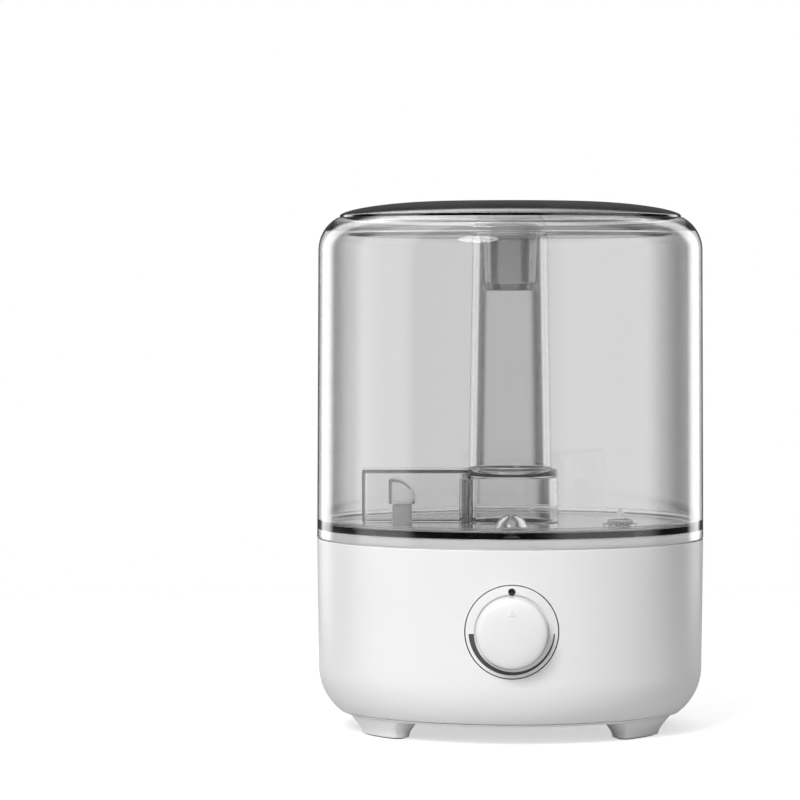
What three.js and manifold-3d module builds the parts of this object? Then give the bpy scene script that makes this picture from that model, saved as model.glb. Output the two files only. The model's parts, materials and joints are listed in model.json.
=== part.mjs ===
// A top-filled cool mist humidifier: a round white base with the electronics, fan and
// ultrasonic transducer, a clear tank standing on it, and a smoked lid with a turning nozzle.
// Millimetres, +Z up, front towards -Y. The pieces are drawn about the tank's own axis.

import * as THREE from 'three';
import { mergeVertices } from 'three/addons/utils/BufferGeometryUtils.js';
import Module from 'manifold-3d';

const wasm = await Module();
wasm.setup();

// ---------------------------------------------------------------- driving sizes

const bodyDiameter = 198;
const overallHeight = 270;
const baseHeight = 97.6; // soles to the line between base and tank
const gap = 0.3; // between pieces that touch
const runningGap = 0.5; // between pieces that slide

// base casing
const shellWall = 2.5;
const baseDraft = 0.8;
const floorCut = 6; // how much of the rounding the flat cover cuts off
const bottomRounding = 28.5;
const coverHeight = 9.5; // underside of the bottom cover above the floor
const coverThickness = 2.5;
const coverLip = 1.2; // edge of the cover that shows below the shell
const footLength = 23; // degrees of arc
const footAngle = 35.5; // degrees from the X axis to the middle of a foot
const footWidth = 10.5;
const footInset = 5.5; // from the cover's edge to the sole's outer edge
const footFlare = 5; // how far a foot widens up to the cover
const padHeight = 1.6;
const padShow = 0.6;
const screwHeadRadius = 2.9;
const screwShankRadius = 1.4;
const screwLength = 12;
const pillarRadius = 4;
const pillarInset = 7.5; // screw axis from the cover's edge

// water basin
const spigotHeight = 5; // rim that stands up inside the tank's skirt
const basinDepth = 16;
const wellDepth = 14;
const wellRadius = 16;
const deckWall = 2.5;
const deckFloor = 2.5;
const ledgeWidth = 4;

// transducer
const discRadius = 10;
const discThickness = 1.3;
const sealRadius = 13;
const sealThickness = 2.6;
const clampThickness = 1.6;

// fan and air path
const fanSize = 50;
const fanRim = 1.8; // thinnest wall round the fan's bore
const fanDepth = 15;
const fanHubRadius = 11;
const bladeCount = 7;
const bladeTipGap = 1.2;
const fanShift = 21; // fan's axis from the hood's middle
const filterRadius = 20;
const filterThickness = 3.6;
const filterRing = 2;
const ductWall = 1.5;
const hoodWidth = 13.3;
const hoodDepth = 21;
const hoodHeight = 22.1; // above the tank floor
const hoodInset = 12.1; // from the clear box's inner wall
const hoodWindow = 7;
const hoodSill = 1; // below the window
const chimneyRise = 9.1; // chimney's top above the tank floor

// boards
const boardWidth = 46;
const boardDepth = 50;
const boardThickness = 1.6;
const boardLift = 12; // above the bottom cover
const boardClearance = 4; // from the fan
const heatSinkWidth = 26;
const heatSinkHeight = 14;
const finCount = 6;

// control panel
const panelRise = 2.5; // panel's lower edge above the top of the bottom rounding
const knobMargin = 0.8; // from the mist scale to the knob
const knobDepth = 11.8;
const knobCrown = 2;
const knobTaper = 0.5;
const knobRounding = 2.6;
const knobStandoff = 0.8;
const knobWall = 3;
const knobFace = 3.4; // left in front of the shaft
const stemBoss = 5.6;
const panelRadius = 23;
const scaleInset = 1.8; // scale's outer edge from the panel's edge
const scaleThick = 2.6; // widest part of the wedge
const scaleThin = 0.6;
const scaleDepth = 0.8;
const scaleStart = 183; // degrees, seen from the front, anticlockwise from the right
const scaleSweep = 174;
const indicatorRadius = 1.65;
const indicatorInset = 3.3; // lamp centre from the panel's edge
const pointerSize = 4.1;
const pointerDrop = 0.15; // pointer's top below the crown
const pointerInset = 7.1; // from the knob's edge to the pointer's middle
const shaftRadius = 3;
const bushRadius = 3.8;
const bushLength = 6;
const potSize = 17;
const potDepth = 8;
const potBack = 2; // wall behind the shaft
const nutRadius = 6;
const nutThickness = 2;

// power inlet
const inletRise = 9; // above the top of the bottom rounding
const inletRadius = 5.5;
const inletBore = 2.9;
const inletDepth = 12;

// tank
const tankWall = 2.3;
const tankDraft = 0.7;
const tankFloorThickness = 3;
const floorRimWall = 2; // rim that stands up where the floor meets the wall
const floorRimHeight = 2.3;
const shoulderRadius = 19;
const shoulderDrop = 25; // shoulder centre below the lid's top
const rimDrop = 8.4; // tank rim below the lid's top
const ledgeDrop = 14; // lid's seat below its top
const seatWidth = 4;

// mist chamber and tube
const collarMargin = 3.95; // from the tube's foot to the collar's outside
const collarDraft = 0.8;
const collarWall = 2.4;
const chamberHeight = 27;
const chamberWall = 1.5;
const chamberHalfWidth = 14;
const chamberInset = 21.1; // from the tank's inner wall to the box's end
const tubeTopRadius = 19.25;
const tubeFootRadius = 21.25;
const tubeWall = 2;
const tubeSeat = 6;

// lid and nozzle
const lidFlat = 36;
const domeDrop = 7.4;
const lidWall = 2.2;
const lidGap = 0.4;
const sleeveTopRadius = 13.85;
const sleeveFootRadius = 12.75;
const sleeveWall = 1.4;
const sleeveLength = 31.4; // below the tube's top
const sleeveRing = 3.9;
const sleeveRingWall = 1.1;
const flangeThickness = 2.3;
const capRadius = 17.2;
const capThickness = 3;

// float and valve
const domeRadius = 8;
const domeHeight = 8;
const domeWall = 1.6;
const domeInset = 13.7; // dome edge from the tank's inner wall
const floatPostRadius = 3;
const floatRadius = 6.6;
const floatHeight = 9;
const floatTravel = 4;
const valveAngle = -39.5; // degrees from the X axis
const valveInset = 26; // valve axis from the tank's inner wall
const valveRingRadius = 8.65;
const valveRingHeight = 2;
const valveRingWall = 1.6;
const valveHole = 4.6;
const valveLift = 2;
const valveSealRadius = 6.3;
const valveSealThickness = 1.5;
const coneRadius = 3;
const coneHeight = 5.7;
const stemRadius = 2;
const guideDepth = 4;
const stemDrop = 6.5; // stem's end below the guide
const springTurns = 4;
const springWire = 0.3;

// fineness of the round pieces
const coarse = 10;
const medium = 18;
const fine = 30;
const finest = 48;

// ---------------------------------------------------------------- sizes worked out

const bodyRadius = bodyDiameter / 2;
const baseFootRadius = bodyRadius - baseDraft;
const roundingCentre = { r: baseFootRadius - bottomRounding, z: coverHeight - floorCut + bottomRounding };
const outerRadius = (z) => {
  const drop = Math.max(0, roundingCentre.z - z);
  const rounded = roundingCentre.r + Math.sqrt(bottomRounding ** 2 - drop ** 2);
  const rise = Math.max(0, z - roundingCentre.z) / (baseHeight - roundingCentre.z);
  return rounded + baseDraft * rise;
};
const innerRadius = (z) => {
  const drop = Math.max(0, roundingCentre.z - z);
  return roundingCentre.r + Math.sqrt((bottomRounding - shellWall) ** 2 - drop ** 2);
};
const coverTop = coverHeight + coverThickness;
const coverRadius = outerRadius(coverHeight);
const shellBottom = coverHeight + coverLip + gap;
const coverStep = innerRadius(shellBottom) - gap;
const shellInner = bodyRadius - shellWall;

const spigotTop = baseHeight + spigotHeight;
const basinFloor = spigotTop - basinDepth;
const basinUnder = basinFloor - deckFloor;
const wellFloor = basinFloor - wellDepth;
const wellUnder = wellFloor - deckFloor;
const deckRadius = shellInner - gap;
const ledgeTop = basinUnder - gap;

const tankInner = bodyRadius - tankWall;
const tankBottom = baseHeight + gap;
const floorUnder = spigotTop + gap;
const floorTop = floorUnder + tankFloorThickness;
const tankTopRadius = bodyRadius - tankDraft;
const shoulderZ = overallHeight - shoulderDrop;
const shoulderR = tankTopRadius - shoulderRadius;
const rimZ = overallHeight - rimDrop;
const seatZ = overallHeight - ledgeDrop;
const rimOuter = shoulderR + Math.sqrt(shoulderRadius ** 2 - (rimZ - shoulderZ) ** 2);
const lidRadius = rimOuter - 1.2;
const mouthRadius = lidRadius + lidGap;

const collarRadius = tubeFootRadius + collarMargin;
const chamberTop = floorTop + chamberHeight;
const chamberEnd = -(tankInner - chamberInset);
const chamberInnerEnd = chamberEnd + chamberWall;
const hoodLeft = chamberInnerEnd + hoodInset;
const hoodRight = hoodLeft + hoodWidth;
const hoodTop = floorTop + hoodHeight;
const chimneyTop = floorTop + chimneyRise;
const tubeTop = seatZ - gap;
const tubeBottom = chamberTop - tubeSeat;

const fanBore = fanSize / 2 - fanRim;
const fanX = hoodLeft + hoodWidth / 2 + fanShift;
const filterCoverTop = coverHeight + 2;
const pocketTop = filterCoverTop + gap + filterThickness + 2.4;
const fanBottom = pocketTop + gap;
const fanTop = fanBottom + fanDepth;
const ductBottom = fanTop + gap;

const scaleOuter = panelRadius - scaleInset;
const knobRadius = scaleOuter - scaleThick - knobMargin;
const knobHeight = roundingCentre.z + panelRise + panelRadius;
const knobPanelRadius = outerRadius(knobHeight);
const knobBack = knobPanelRadius + knobStandoff;
const knobFront = knobBack + knobDepth;
const panelInner = knobPanelRadius - shellWall;
const indicatorZ = knobHeight + panelRadius - indicatorInset;
const facetLoss = panelInner * (1 - Math.cos(Math.PI / finest));
const potFront = Math.sqrt(panelInner ** 2 - (potSize / 2) ** 2) - facetLoss - gap;
const nutClear = nutThickness + knobStandoff + 1;
const knobBoreDepth = knobDepth - knobFace;
const shaftFront = knobBack + knobBoreDepth - gap;
const inletZ = roundingCentre.z + inletRise;

const floatX = 0;
const floatY = -(tankInner - domeInset - domeRadius);
const guideBottom = floorUnder - guideDepth;
const stemBottom = guideBottom - stemDrop;
const valveReach = tankInner - valveInset;
const valveX = valveReach * Math.cos(THREE.MathUtils.degToRad(valveAngle));
const valveY = valveReach * Math.sin(THREE.MathUtils.degToRad(valveAngle));

// ---------------------------------------------------------------- solid modelling helpers

const radians = THREE.MathUtils.degToRad;

function toSolid(geometry) {
  const bare = geometry.clone();
  bare.deleteAttribute('normal');
  bare.deleteAttribute('uv');
  const welded = mergeVertices(bare, 1e-4);
  const index = welded.index.array;
  const kept = [];
  for (let i = 0; i < index.length; i += 3) {
    const [a, b, c] = [index[i], index[i + 1], index[i + 2]];
    if (a !== b && b !== c && c !== a) kept.push(a, b, c);
  }
  return new wasm.Manifold(new wasm.Mesh({
    numProp: 3,
    vertProperties: new Float32Array(welded.attributes.position.array),
    triVerts: new Uint32Array(kept),
  }));
}

function toGeometry(solid) {
  const mesh = solid.getMesh();
  const geometry = new THREE.BufferGeometry();
  geometry.setAttribute('position', new THREE.BufferAttribute(mesh.vertProperties, 3));
  geometry.setIndex(new THREE.BufferAttribute(mesh.triVerts, 1));
  geometry.computeVertexNormals();
  return geometry;
}

function join(...parts) {
  return toGeometry(parts.map(toSolid).reduce((whole, part) => whole.add(part)));
}

function cut(blank, ...tools) {
  return toGeometry(tools.map(toSolid).reduce((whole, tool) => whole.subtract(tool), toSolid(blank)));
}

function common(first, second) {
  return toGeometry(toSolid(first).intersect(toSolid(second)));
}

// A closed outline of [radius, height] points, turned about +Z.
function turned(outline, segments = fine) {
  const points = outline.map(([r, z]) => new THREE.Vector2(r, z));
  if (THREE.ShapeUtils.area(points) < 0) points.reverse();
  points.push(points[0].clone());
  const geometry = new THREE.LatheGeometry(points, segments);
  geometry.rotateX(Math.PI / 2);
  return geometry;
}

function ring(inner, outer, z0, z1, segments = fine) {
  return turned([[inner, z0], [outer, z0], [outer, z1], [inner, z1]], segments);
}

function rodZ(radius, z0, z1, x = 0, y = 0, sides = medium) {
  const geometry = new THREE.CylinderGeometry(radius, radius, z1 - z0, sides);
  geometry.rotateX(Math.PI / 2);
  geometry.translate(x, y, (z0 + z1) / 2);
  return geometry;
}

function rodY(radius, y0, y1, x, z, sides = medium) {
  const geometry = new THREE.CylinderGeometry(radius, radius, y1 - y0, sides);
  geometry.translate(x, (y0 + y1) / 2, z);
  return geometry;
}

function block(x0, x1, y0, y1, z0, z1) {
  const geometry = new THREE.BoxGeometry(x1 - x0, y1 - y0, z1 - z0);
  geometry.translate((x0 + x1) / 2, (y0 + y1) / 2, (z0 + z1) / 2);
  return geometry;
}

// An outline in the XZ plane, pushed along Y.
function prismY(outline, y0, y1) {
  const shape = new THREE.Shape(outline.map(([x, z]) => new THREE.Vector2(x, z)));
  const geometry = new THREE.ExtrudeGeometry(shape, { depth: y1 - y0, bevelEnabled: false });
  geometry.rotateX(Math.PI / 2);
  geometry.translate(0, y1, 0);
  return geometry;
}

// Outlines with the same number of points, each at its own height, joined into one solid.
function loft(levels) {
  const count = levels[0].outline.length;
  const position = [];
  const index = [];
  for (const { outline, z } of levels) {
    for (const [x, y] of outline) position.push(x, y, z);
  }
  for (let level = 0; level + 1 < levels.length; level += 1) {
    for (let i = 0; i < count; i += 1) {
      const a = level * count + i;
      const b = level * count + ((i + 1) % count);
      index.push(a, b, b + count, a, b + count, a + count);
    }
  }
  const flat = levels[0].outline.map(([x, y]) => new THREE.Vector2(x, y));
  const top = (levels.length - 1) * count;
  for (const [a, b, c] of THREE.ShapeUtils.triangulateShape(flat, [])) {
    index.push(c, b, a, top + a, top + b, top + c);
  }
  const geometry = new THREE.BufferGeometry();
  geometry.setAttribute('position', new THREE.Float32BufferAttribute(position, 3));
  geometry.setIndex(index);
  return geometry;
}

function rectangle(x0, x1, y0, y1) {
  return [[x0, y0], [x1, y0], [x1, y1], [x0, y1]];
}

function arc(centreR, centreZ, radius, from, to, steps) {
  const points = [];
  for (let i = 0; i <= steps; i += 1) {
    const angle = radians(from + (to - from) * i / steps);
    points.push([centreR + radius * Math.cos(angle), centreZ + radius * Math.sin(angle)]);
  }
  return points;
}

function sector(inner, outer, from, to, steps = 6) {
  return [...arc(0, 0, outer, from, to, steps), ...arc(0, 0, inner, to, from, steps)];
}

function tubeAlong(points, radius, steps, sides = 6) {
  const shape = new THREE.Shape();
  for (let i = 0; i < sides; i += 1) {
    const angle = i * 2 * Math.PI / sides;
    const [x, y] = [radius * Math.cos(angle), radius * Math.sin(angle)];
    if (i === 0) shape.moveTo(x, y);
    else shape.lineTo(x, y);
  }
  const extrudePath = new THREE.CatmullRomCurve3(points.map((p) => new THREE.Vector3(...p)));
  return new THREE.ExtrudeGeometry(shape, { steps, extrudePath, bevelEnabled: false });
}

// ---------------------------------------------------------------- finishes

function finish(color, roughness, metalness = 0, opacity = 1) {
  return () => new THREE.MeshStandardMaterial({
    color, roughness, metalness, opacity, transparent: opacity < 1,
  });
}

const whiteAbs = finish('#f1f2f2', 0.35);
const clearPlastic = finish('#e4e8e8', 0.06, 0, 0.35);
const smokedPlastic = finish('#3c4043', 0.12, 0, 0.7);
const darkPrint = finish('#6b6e70', 0.5);
const silicone = finish('#d9dcdc', 0.6);
const greySilicone = finish('#8a8d90', 0.6);
const steel = finish('#b9bcbf', 0.3, 1);
const nickel = finish('#c9c7c0', 0.25, 1);
const aluminium = finish('#c4c7c9', 0.4, 1);
const circuitBoard = finish('#1f6b46', 0.45);
const blackPlastic = finish('#1b1c1e', 0.45);
const foam = finish('#4a4d50', 0.95);
const ferrite = finish('#34322f', 0.6, 0.4);
const ceramic = finish('#e8dfc8', 0.5);
const copperLead = finish('#b03a2e', 0.5);
const whiteFoam = finish('#f4f1ea', 0.8);

const humidifier = new THREE.Group();

function piece(name, geometry, material) {
  const mesh = new THREE.Mesh(toGeometry(toSolid(geometry)), material());
  mesh.name = name;
  humidifier.add(mesh);
}

// ---------------------------------------------------------------- base casing

// The curve of the casing's outside, from its lower edge to the top.
function casingOutline(offset, bottom, top) {
  const drop = Math.min(roundingCentre.z - bottom, bottomRounding - offset);
  const start = -THREE.MathUtils.radToDeg(Math.asin(drop / (bottomRounding - offset)));
  const lower = arc(roundingCentre.r, roundingCentre.z, bottomRounding - offset, start, 0, 4);
  return [...lower, [outerRadius(top) - offset, top]];
}

const screwReach = coverRadius - pillarInset;
const screwPlaces = [0, 90, 180, 270].map((angle) => ({
  angle,
  x: screwReach * Math.cos(radians(angle)),
  y: screwReach * Math.sin(radians(angle)),
}));
const pillarBottom = coverTop + gap;
const pillarTop = pillarBottom + 16;

function casingPillar({ angle, x, y }) {
  const post = rodZ(pillarRadius, pillarBottom, pillarTop, x, y, coarse);
  const rib = block(screwReach, bodyRadius - 1, -1, 1, pillarBottom, pillarTop);
  rib.rotateZ(radians(angle));
  return join(post, rib);
}

function baseShell() {
  const outside = casingOutline(0, shellBottom, baseHeight);
  const inside = casingOutline(shellWall, shellBottom, ledgeTop - ledgeWidth * 1.5);
  const ledge = [
    [outerRadius(ledgeTop) - shellWall - ledgeWidth, ledgeTop - 2],
    [outerRadius(ledgeTop) - shellWall - ledgeWidth, ledgeTop],
    [outerRadius(ledgeTop) - shellWall, ledgeTop],
    [shellInner, baseHeight],
  ];
  const wall = turned([...outside, ...ledge.reverse(), ...inside.reverse()], finest);
  const bowl = turned([[0, shellBottom], ...outside, [0, baseHeight]], finest);
  const pillars = screwPlaces.map((place) => common(casingPillar(place), bowl));
  const holes = screwPlaces.map(({ x, y }) => (
    rodZ(screwShankRadius + gap, pillarBottom - 1, pillarBottom + screwLength, x, y, coarse)
  ));
  const panelHole = rodY(panelRadius + gap, -bodyRadius - 5, -bodyRadius / 2, 0, knobHeight, fine);
  const inletHole = rodY(inletRadius + gap, bodyRadius / 2, bodyRadius + 5, 0, inletZ, medium);
  return cut(join(wall, ...pillars), ...holes, panelHole, inletHole);
}

function bottomCover() {
  const plate = turned([
    [0, coverHeight],
    [coverRadius, coverHeight],
    [outerRadius(coverHeight + coverLip), coverHeight + coverLip],
    [coverStep, coverHeight + coverLip],
    [coverStep, coverTop],
    [0, coverTop],
  ], finest);
  const collar = rodZ(filterRadius + filterRing, coverTop - 1, pocketTop, fanX, 0, fine);
  const posts = boardCorners().map(([x, y]) => (
    rodZ(2.6, coverTop - 1, coverTop + boardLift - gap, x, y, coarse)
  ));
  const filterHole = rodZ(filterRadius + gap, coverHeight - 1, pocketTop + 1, fanX, 0, fine);
  const screwHoles = screwPlaces.map(({ x, y }) => join(
    rodZ(screwShankRadius + gap, coverHeight - 1, coverTop + 1, x, y, coarse),
    rodZ(screwHeadRadius + gap, coverHeight - 1, coverHeight + 1.2, x, y, coarse),
  ));
  return cut(join(plate, collar, ...posts), filterHole, ...screwHoles);
}

function coverScrew({ x, y }) {
  const head = rodZ(screwHeadRadius, coverHeight - 0.6, coverHeight + 0.9, x, y, coarse);
  const shank = rodZ(screwShankRadius, coverHeight, coverHeight + screwLength, x, y, coarse);
  return join(head, shank);
}

const soleOuter = coverRadius - footInset;
const footPlaces = {
  front_right: -footAngle,
  front_left: footAngle - 180,
  rear_right: footAngle,
  rear_left: 180 - footAngle,
};

function footSection(middle, flare) {
  const half = footLength / 2 + THREE.MathUtils.radToDeg(flare / soleOuter);
  return sector(soleOuter - footWidth - flare / 2, soleOuter + flare * 0.8, middle - half, middle + half);
}

function foot(middle) {
  const solid = loft([
    { outline: footSection(middle, 0), z: padShow },
    { outline: footSection(middle, footFlare), z: coverHeight - gap },
  ]);
  const recess = loft([
    { outline: footSection(middle, gap - 2), z: padShow - 1 },
    { outline: footSection(middle, gap - 2), z: padHeight + gap },
  ]);
  return cut(solid, recess);
}

function footPad(middle) {
  return loft([
    { outline: footSection(middle, -2), z: 0 },
    { outline: footSection(middle, -2), z: padHeight },
  ]);
}

piece('base_shell', baseShell(), whiteAbs);
piece('bottom_cover', bottomCover(), whiteAbs);
screwPlaces.forEach((place, i) => piece(`cover_screw_${i + 1}`, coverScrew(place), steel));
for (const [place, middle] of Object.entries(footPlaces)) {
  piece(`foot_${place}`, foot(middle), whiteAbs);
  piece(`foot_pad_${place}`, footPad(middle), greySilicone);
}

// ---------------------------------------------------------------- water basin and air chimney

const chimney = { x0: hoodLeft + ductWall + gap, x1: hoodRight - ductWall - gap };
const chimneyHalf = hoodDepth / 2 - ductWall - gap;
const floatPostTop = spigotTop - 1.2;

function baseDeck() {
  const tray = turned([
    [0, wellUnder],
    [wellRadius + deckWall, wellUnder],
    [wellRadius + deckWall, basinUnder],
    [deckRadius, basinUnder],
    [deckRadius, spigotTop],
    [deckRadius - deckWall, spigotTop],
    [deckRadius - deckWall, basinFloor],
    [wellRadius, basinFloor],
    [wellRadius, wellFloor],
    [0, wellFloor],
  ], finest);
  const stack = block(chimney.x0, chimney.x1, -chimneyHalf, chimneyHalf, basinUnder, chimneyTop);
  const flue = block(
    chimney.x0 + ductWall, chimney.x1 - ductWall,
    -chimneyHalf + ductWall, chimneyHalf - ductWall, basinUnder - 1, chimneyTop + 1,
  );
  const floatPost = rodZ(floatPostRadius, basinUnder, floatPostTop, floatX, floatY, coarse);
  const reedHole = rodZ(1.8, basinUnder - 1, floatPostTop - 2, floatX, floatY, coarse);
  const valvePost = rodZ(3, basinFloor - 1, stemBottom - gap, valveX, valveY, coarse);
  const discHole = rodZ(discRadius - 1.5, wellUnder - 1, wellFloor + 1, 0, 0, medium);
  const sealSeat = rodZ(sealRadius + gap, wellUnder - 1, wellUnder + 1.2, 0, 0, medium);
  return cut(join(tray, stack, floatPost, valvePost), flue, reedHole, discHole, sealSeat);
}

piece('base_deck', baseDeck(), whiteAbs);

// ---------------------------------------------------------------- transducer

const sealTop = wellUnder + 1.2 - gap;
const sealBottom = sealTop - sealThickness;
const discBottom = sealBottom + 0.5;

function transducerSeal() {
  const body = ring(discRadius - 1.5, sealRadius, sealBottom, sealTop, medium);
  const groove = ring(0, discRadius + gap, discBottom - gap, discBottom + discThickness + gap, medium);
  return cut(body, groove);
}

const clampTop = sealBottom - gap;
const clampScrews = [90, 210, 330].map((angle) => ({
  x: (sealRadius + 2.6) * Math.cos(radians(angle)),
  y: (sealRadius + 2.6) * Math.sin(radians(angle)),
}));

function transducerClamp() {
  const plate = ring(discRadius - 3, wellRadius + deckWall, clampTop - clampThickness, clampTop, medium);
  const holes = clampScrews.map(({ x, y }) => rodZ(1.3, clampTop - 5, clampTop + 5, x, y, coarse));
  return cut(plate, ...holes);
}

function clampScrew({ x, y }) {
  const under = clampTop - clampThickness - gap;
  return join(
    rodZ(2.2, under - 1.5, under, x, y, coarse),
    rodZ(1, under - 0.5, wellUnder - gap, x, y, coarse),
  );
}

piece('transducer_disc', rodZ(discRadius, discBottom, discBottom + discThickness, 0, 0, medium), nickel);
piece('transducer_seal', transducerSeal(), silicone);
piece('transducer_clamp', transducerClamp(), steel);
clampScrews.forEach((place, i) => piece(`clamp_screw_${i + 1}`, clampScrew(place), steel));

// ---------------------------------------------------------------- fan, filter and air duct

function filterCover() {
  const plate = rodZ(filterRadius, coverHeight, filterCoverTop, fanX, 0, fine);
  const slots = [-12, -6, 0, 6, 12].map((y) => {
    const half = Math.sqrt((filterRadius - 4) ** 2 - y ** 2);
    return block(fanX - half, fanX + half, y - 1.5, y + 1.5, coverHeight - 1, filterCoverTop + 1);
  });
  return cut(plate, ...slots);
}

function fanFrame() {
  const half = fanSize / 2;
  const body = block(fanX - half, fanX + half, -half, half, fanBottom, fanTop);
  const bore = rodZ(fanBore, fanBottom - 1, fanTop + 1, fanX, 0, fine);
  const corners = [[1, 1], [1, -1], [-1, 1], [-1, -1]].map(([sx, sy]) => (
    rodZ(1.9, fanBottom - 1, fanTop + 1, fanX + sx * (half - 4), sy * (half - 4), coarse)
  ));
  const seat = rodZ(fanHubRadius, fanBottom, fanBottom + 3, fanX, 0, medium);
  const spokes = [90, 210, 330].map((angle) => {
    const spoke = block(0, fanBore + 1, -1.2, 1.2, fanBottom, fanBottom + 2.4);
    spoke.rotateZ(radians(angle));
    spoke.translate(fanX, 0, 0);
    return spoke;
  });
  const shaftHole = rodZ(1 + gap, fanBottom + 1, fanBottom + 4, fanX, 0, coarse);
  return cut(join(cut(body, bore, ...corners), seat, ...spokes), shaftHole);
}

const impellerBottom = fanBottom + 3 + runningGap;
const impellerTop = fanTop - 1;
const shaftTop = impellerTop - 2.4;

function fanImpeller() {
  const hub = rodZ(fanHubRadius, impellerBottom, impellerTop, fanX, 0, medium);
  const hollow = rodZ(1 + gap, impellerBottom - 1, shaftTop + gap, fanX, 0, coarse);
  const tip = fanBore - bladeTipGap;
  const blades = Array.from({ length: bladeCount }, (_, i) => {
    const blade = block(fanHubRadius - 1.5, tip - 0.8, -5, 5, -0.6, 0.6);
    blade.rotateX(radians(38));
    blade.rotateZ(i * 2 * Math.PI / bladeCount);
    blade.translate(fanX, 0, (impellerBottom + impellerTop) / 2);
    return blade;
  });
  return cut(join(hub, ...blades), hollow);
}

function airDuct() {
  const half = fanSize / 2;
  const bend = wellUnder - 6;
  const outline = (inset) => ({
    wide: rectangle(fanX - half + inset, fanX + half - inset, -half + inset, half - inset),
    narrow: rectangle(
      hoodLeft + inset, hoodRight - inset, -hoodDepth / 2 + inset, hoodDepth / 2 - inset,
    ),
  });
  const outer = outline(0);
  const inner = outline(ductWall);
  const shell = loft([
    { outline: outer.wide, z: ductBottom },
    { outline: outer.wide, z: ductBottom + 3 },
    { outline: outer.narrow, z: bend },
    { outline: outer.narrow, z: basinUnder - gap },
  ]);
  const space = loft([
    { outline: inner.wide, z: ductBottom - 1 },
    { outline: inner.wide, z: ductBottom + 3 },
    { outline: inner.narrow, z: bend },
    { outline: inner.narrow, z: basinUnder + 1 },
  ]);
  return cut(shell, space);
}

// A hood with a quarter-round roof on the tube's side and a window under it.
function hoodOutline(inset, bottom) {
  const round = hoodWidth - inset * 2 - 2;
  const right = hoodRight - inset;
  const top = hoodTop - inset;
  return [
    [hoodLeft + inset, bottom],
    [right, bottom],
    ...arc(right - round, top - round, round, 0, 90, 6),
    [hoodLeft + inset, top],
  ];
}

function outletHood() {
  const bottom = chimneyTop + gap;
  const outside = prismY(hoodOutline(0, bottom), -hoodDepth / 2, hoodDepth / 2);
  const inside = prismY(
    hoodOutline(ductWall, bottom - 1), -hoodDepth / 2 + ductWall, hoodDepth / 2 - ductWall,
  );
  const windowHalf = hoodDepth / 2 - ductWall - 1;
  const window = block(
    hoodRight - ductWall - 1, hoodRight + 1, -windowHalf, windowHalf,
    bottom + hoodSill, bottom + hoodSill + hoodWindow,
  );
  return cut(outside, inside, window);
}

piece('filter_cover', filterCover(), whiteAbs);
piece(
  'filter_foam',
  rodZ(filterRadius, filterCoverTop + gap, filterCoverTop + gap + filterThickness, fanX, 0, medium),
  foam,
);
piece('fan_frame', fanFrame(), blackPlastic);
piece('fan_impeller', fanImpeller(), blackPlastic);
piece('fan_shaft', rodZ(1, fanBottom + 1 + gap, shaftTop, fanX, 0, coarse), steel);
piece('air_duct', airDuct(), whiteAbs);
piece('outlet_hood', outletHood(), clearPlastic);

// ---------------------------------------------------------------- boards

function boardCorners() {
  const x0 = fanX + fanSize / 2 + boardClearance;
  const inset = 4;
  return [
    [x0 + inset, -boardDepth / 2 + inset],
    [x0 + boardWidth - inset, -boardDepth / 2 + inset],
    [x0 + boardWidth - inset, boardDepth / 2 - inset],
    [x0 + inset, boardDepth / 2 - inset],
  ];
}

const boardX = fanX + fanSize / 2 + boardClearance;
const boardZ = coverTop + boardLift;
const boardTop = boardZ + boardThickness;

function heatSink() {
  const x0 = boardX + 6;
  const x1 = x0 + heatSinkWidth;
  const half = 12;
  const foot = block(x0, x1, -half, half, boardTop + gap, boardTop + gap + 3);
  const pitch = (heatSinkWidth - 1.6) / (finCount - 1);
  const fins = Array.from({ length: finCount }, (_, i) => (
    block(x0 + i * pitch, x0 + i * pitch + 1.6, -half, half, boardTop + gap, boardTop + heatSinkHeight)
  ));
  return join(foot, ...fins);
}

const coilX = boardX + boardWidth - 7.5;
const board = block(boardX, boardX + boardWidth, -boardDepth / 2, boardDepth / 2, boardZ, boardTop);
const coil = new THREE.TorusGeometry(3.6, 1.7, 8, coarse);
coil.translate(coilX, 12, boardTop + gap + 1.7);
piece('driver_board', board, circuitBoard);
piece('heat_sink', heatSink(), aluminium);
piece('driver_coil', coil, ferrite);
piece('driver_capacitor', rodZ(4, boardTop + gap, boardTop + gap + 12, coilX, -12, coarse), blackPlastic);

// ---------------------------------------------------------------- dial panel, knob and indicator

// The casing's wall at the height of the dial, from a depth up to a little proud of its outside.
function frontWall(depth, proud = 0) {
  const low = knobHeight - panelRadius - 2;
  const high = knobHeight + panelRadius + 2;
  return turned([
    [outerRadius(low) - depth, low],
    [outerRadius(low) + proud, low],
    [outerRadius(high) + proud, high],
    [outerRadius(high) - depth, high],
  ], finest);
}

// The mist scale: a wedge that starts thick at the left, runs under the knob and ends thin.
function scaleWedge(spread) {
  const steps = 20;
  const endGap = THREE.MathUtils.radToDeg(spread / scaleOuter);
  const outer = [];
  const inner = [];
  for (let i = 0; i <= steps; i += 1) {
    const angle = radians(scaleStart - endGap + (scaleSweep + 2 * endGap) * i / steps);
    const width = scaleThick + (scaleThin - scaleThick) * i / steps;
    const out = scaleOuter + spread;
    const inn = scaleOuter - width - spread;
    outer.push([out * Math.cos(angle), knobHeight + out * Math.sin(angle)]);
    inner.push([inn * Math.cos(angle), knobHeight + inn * Math.sin(angle)]);
  }
  return prismY([...outer, ...inner.reverse()], -bodyRadius - 2, -bodyRadius / 2);
}

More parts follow.
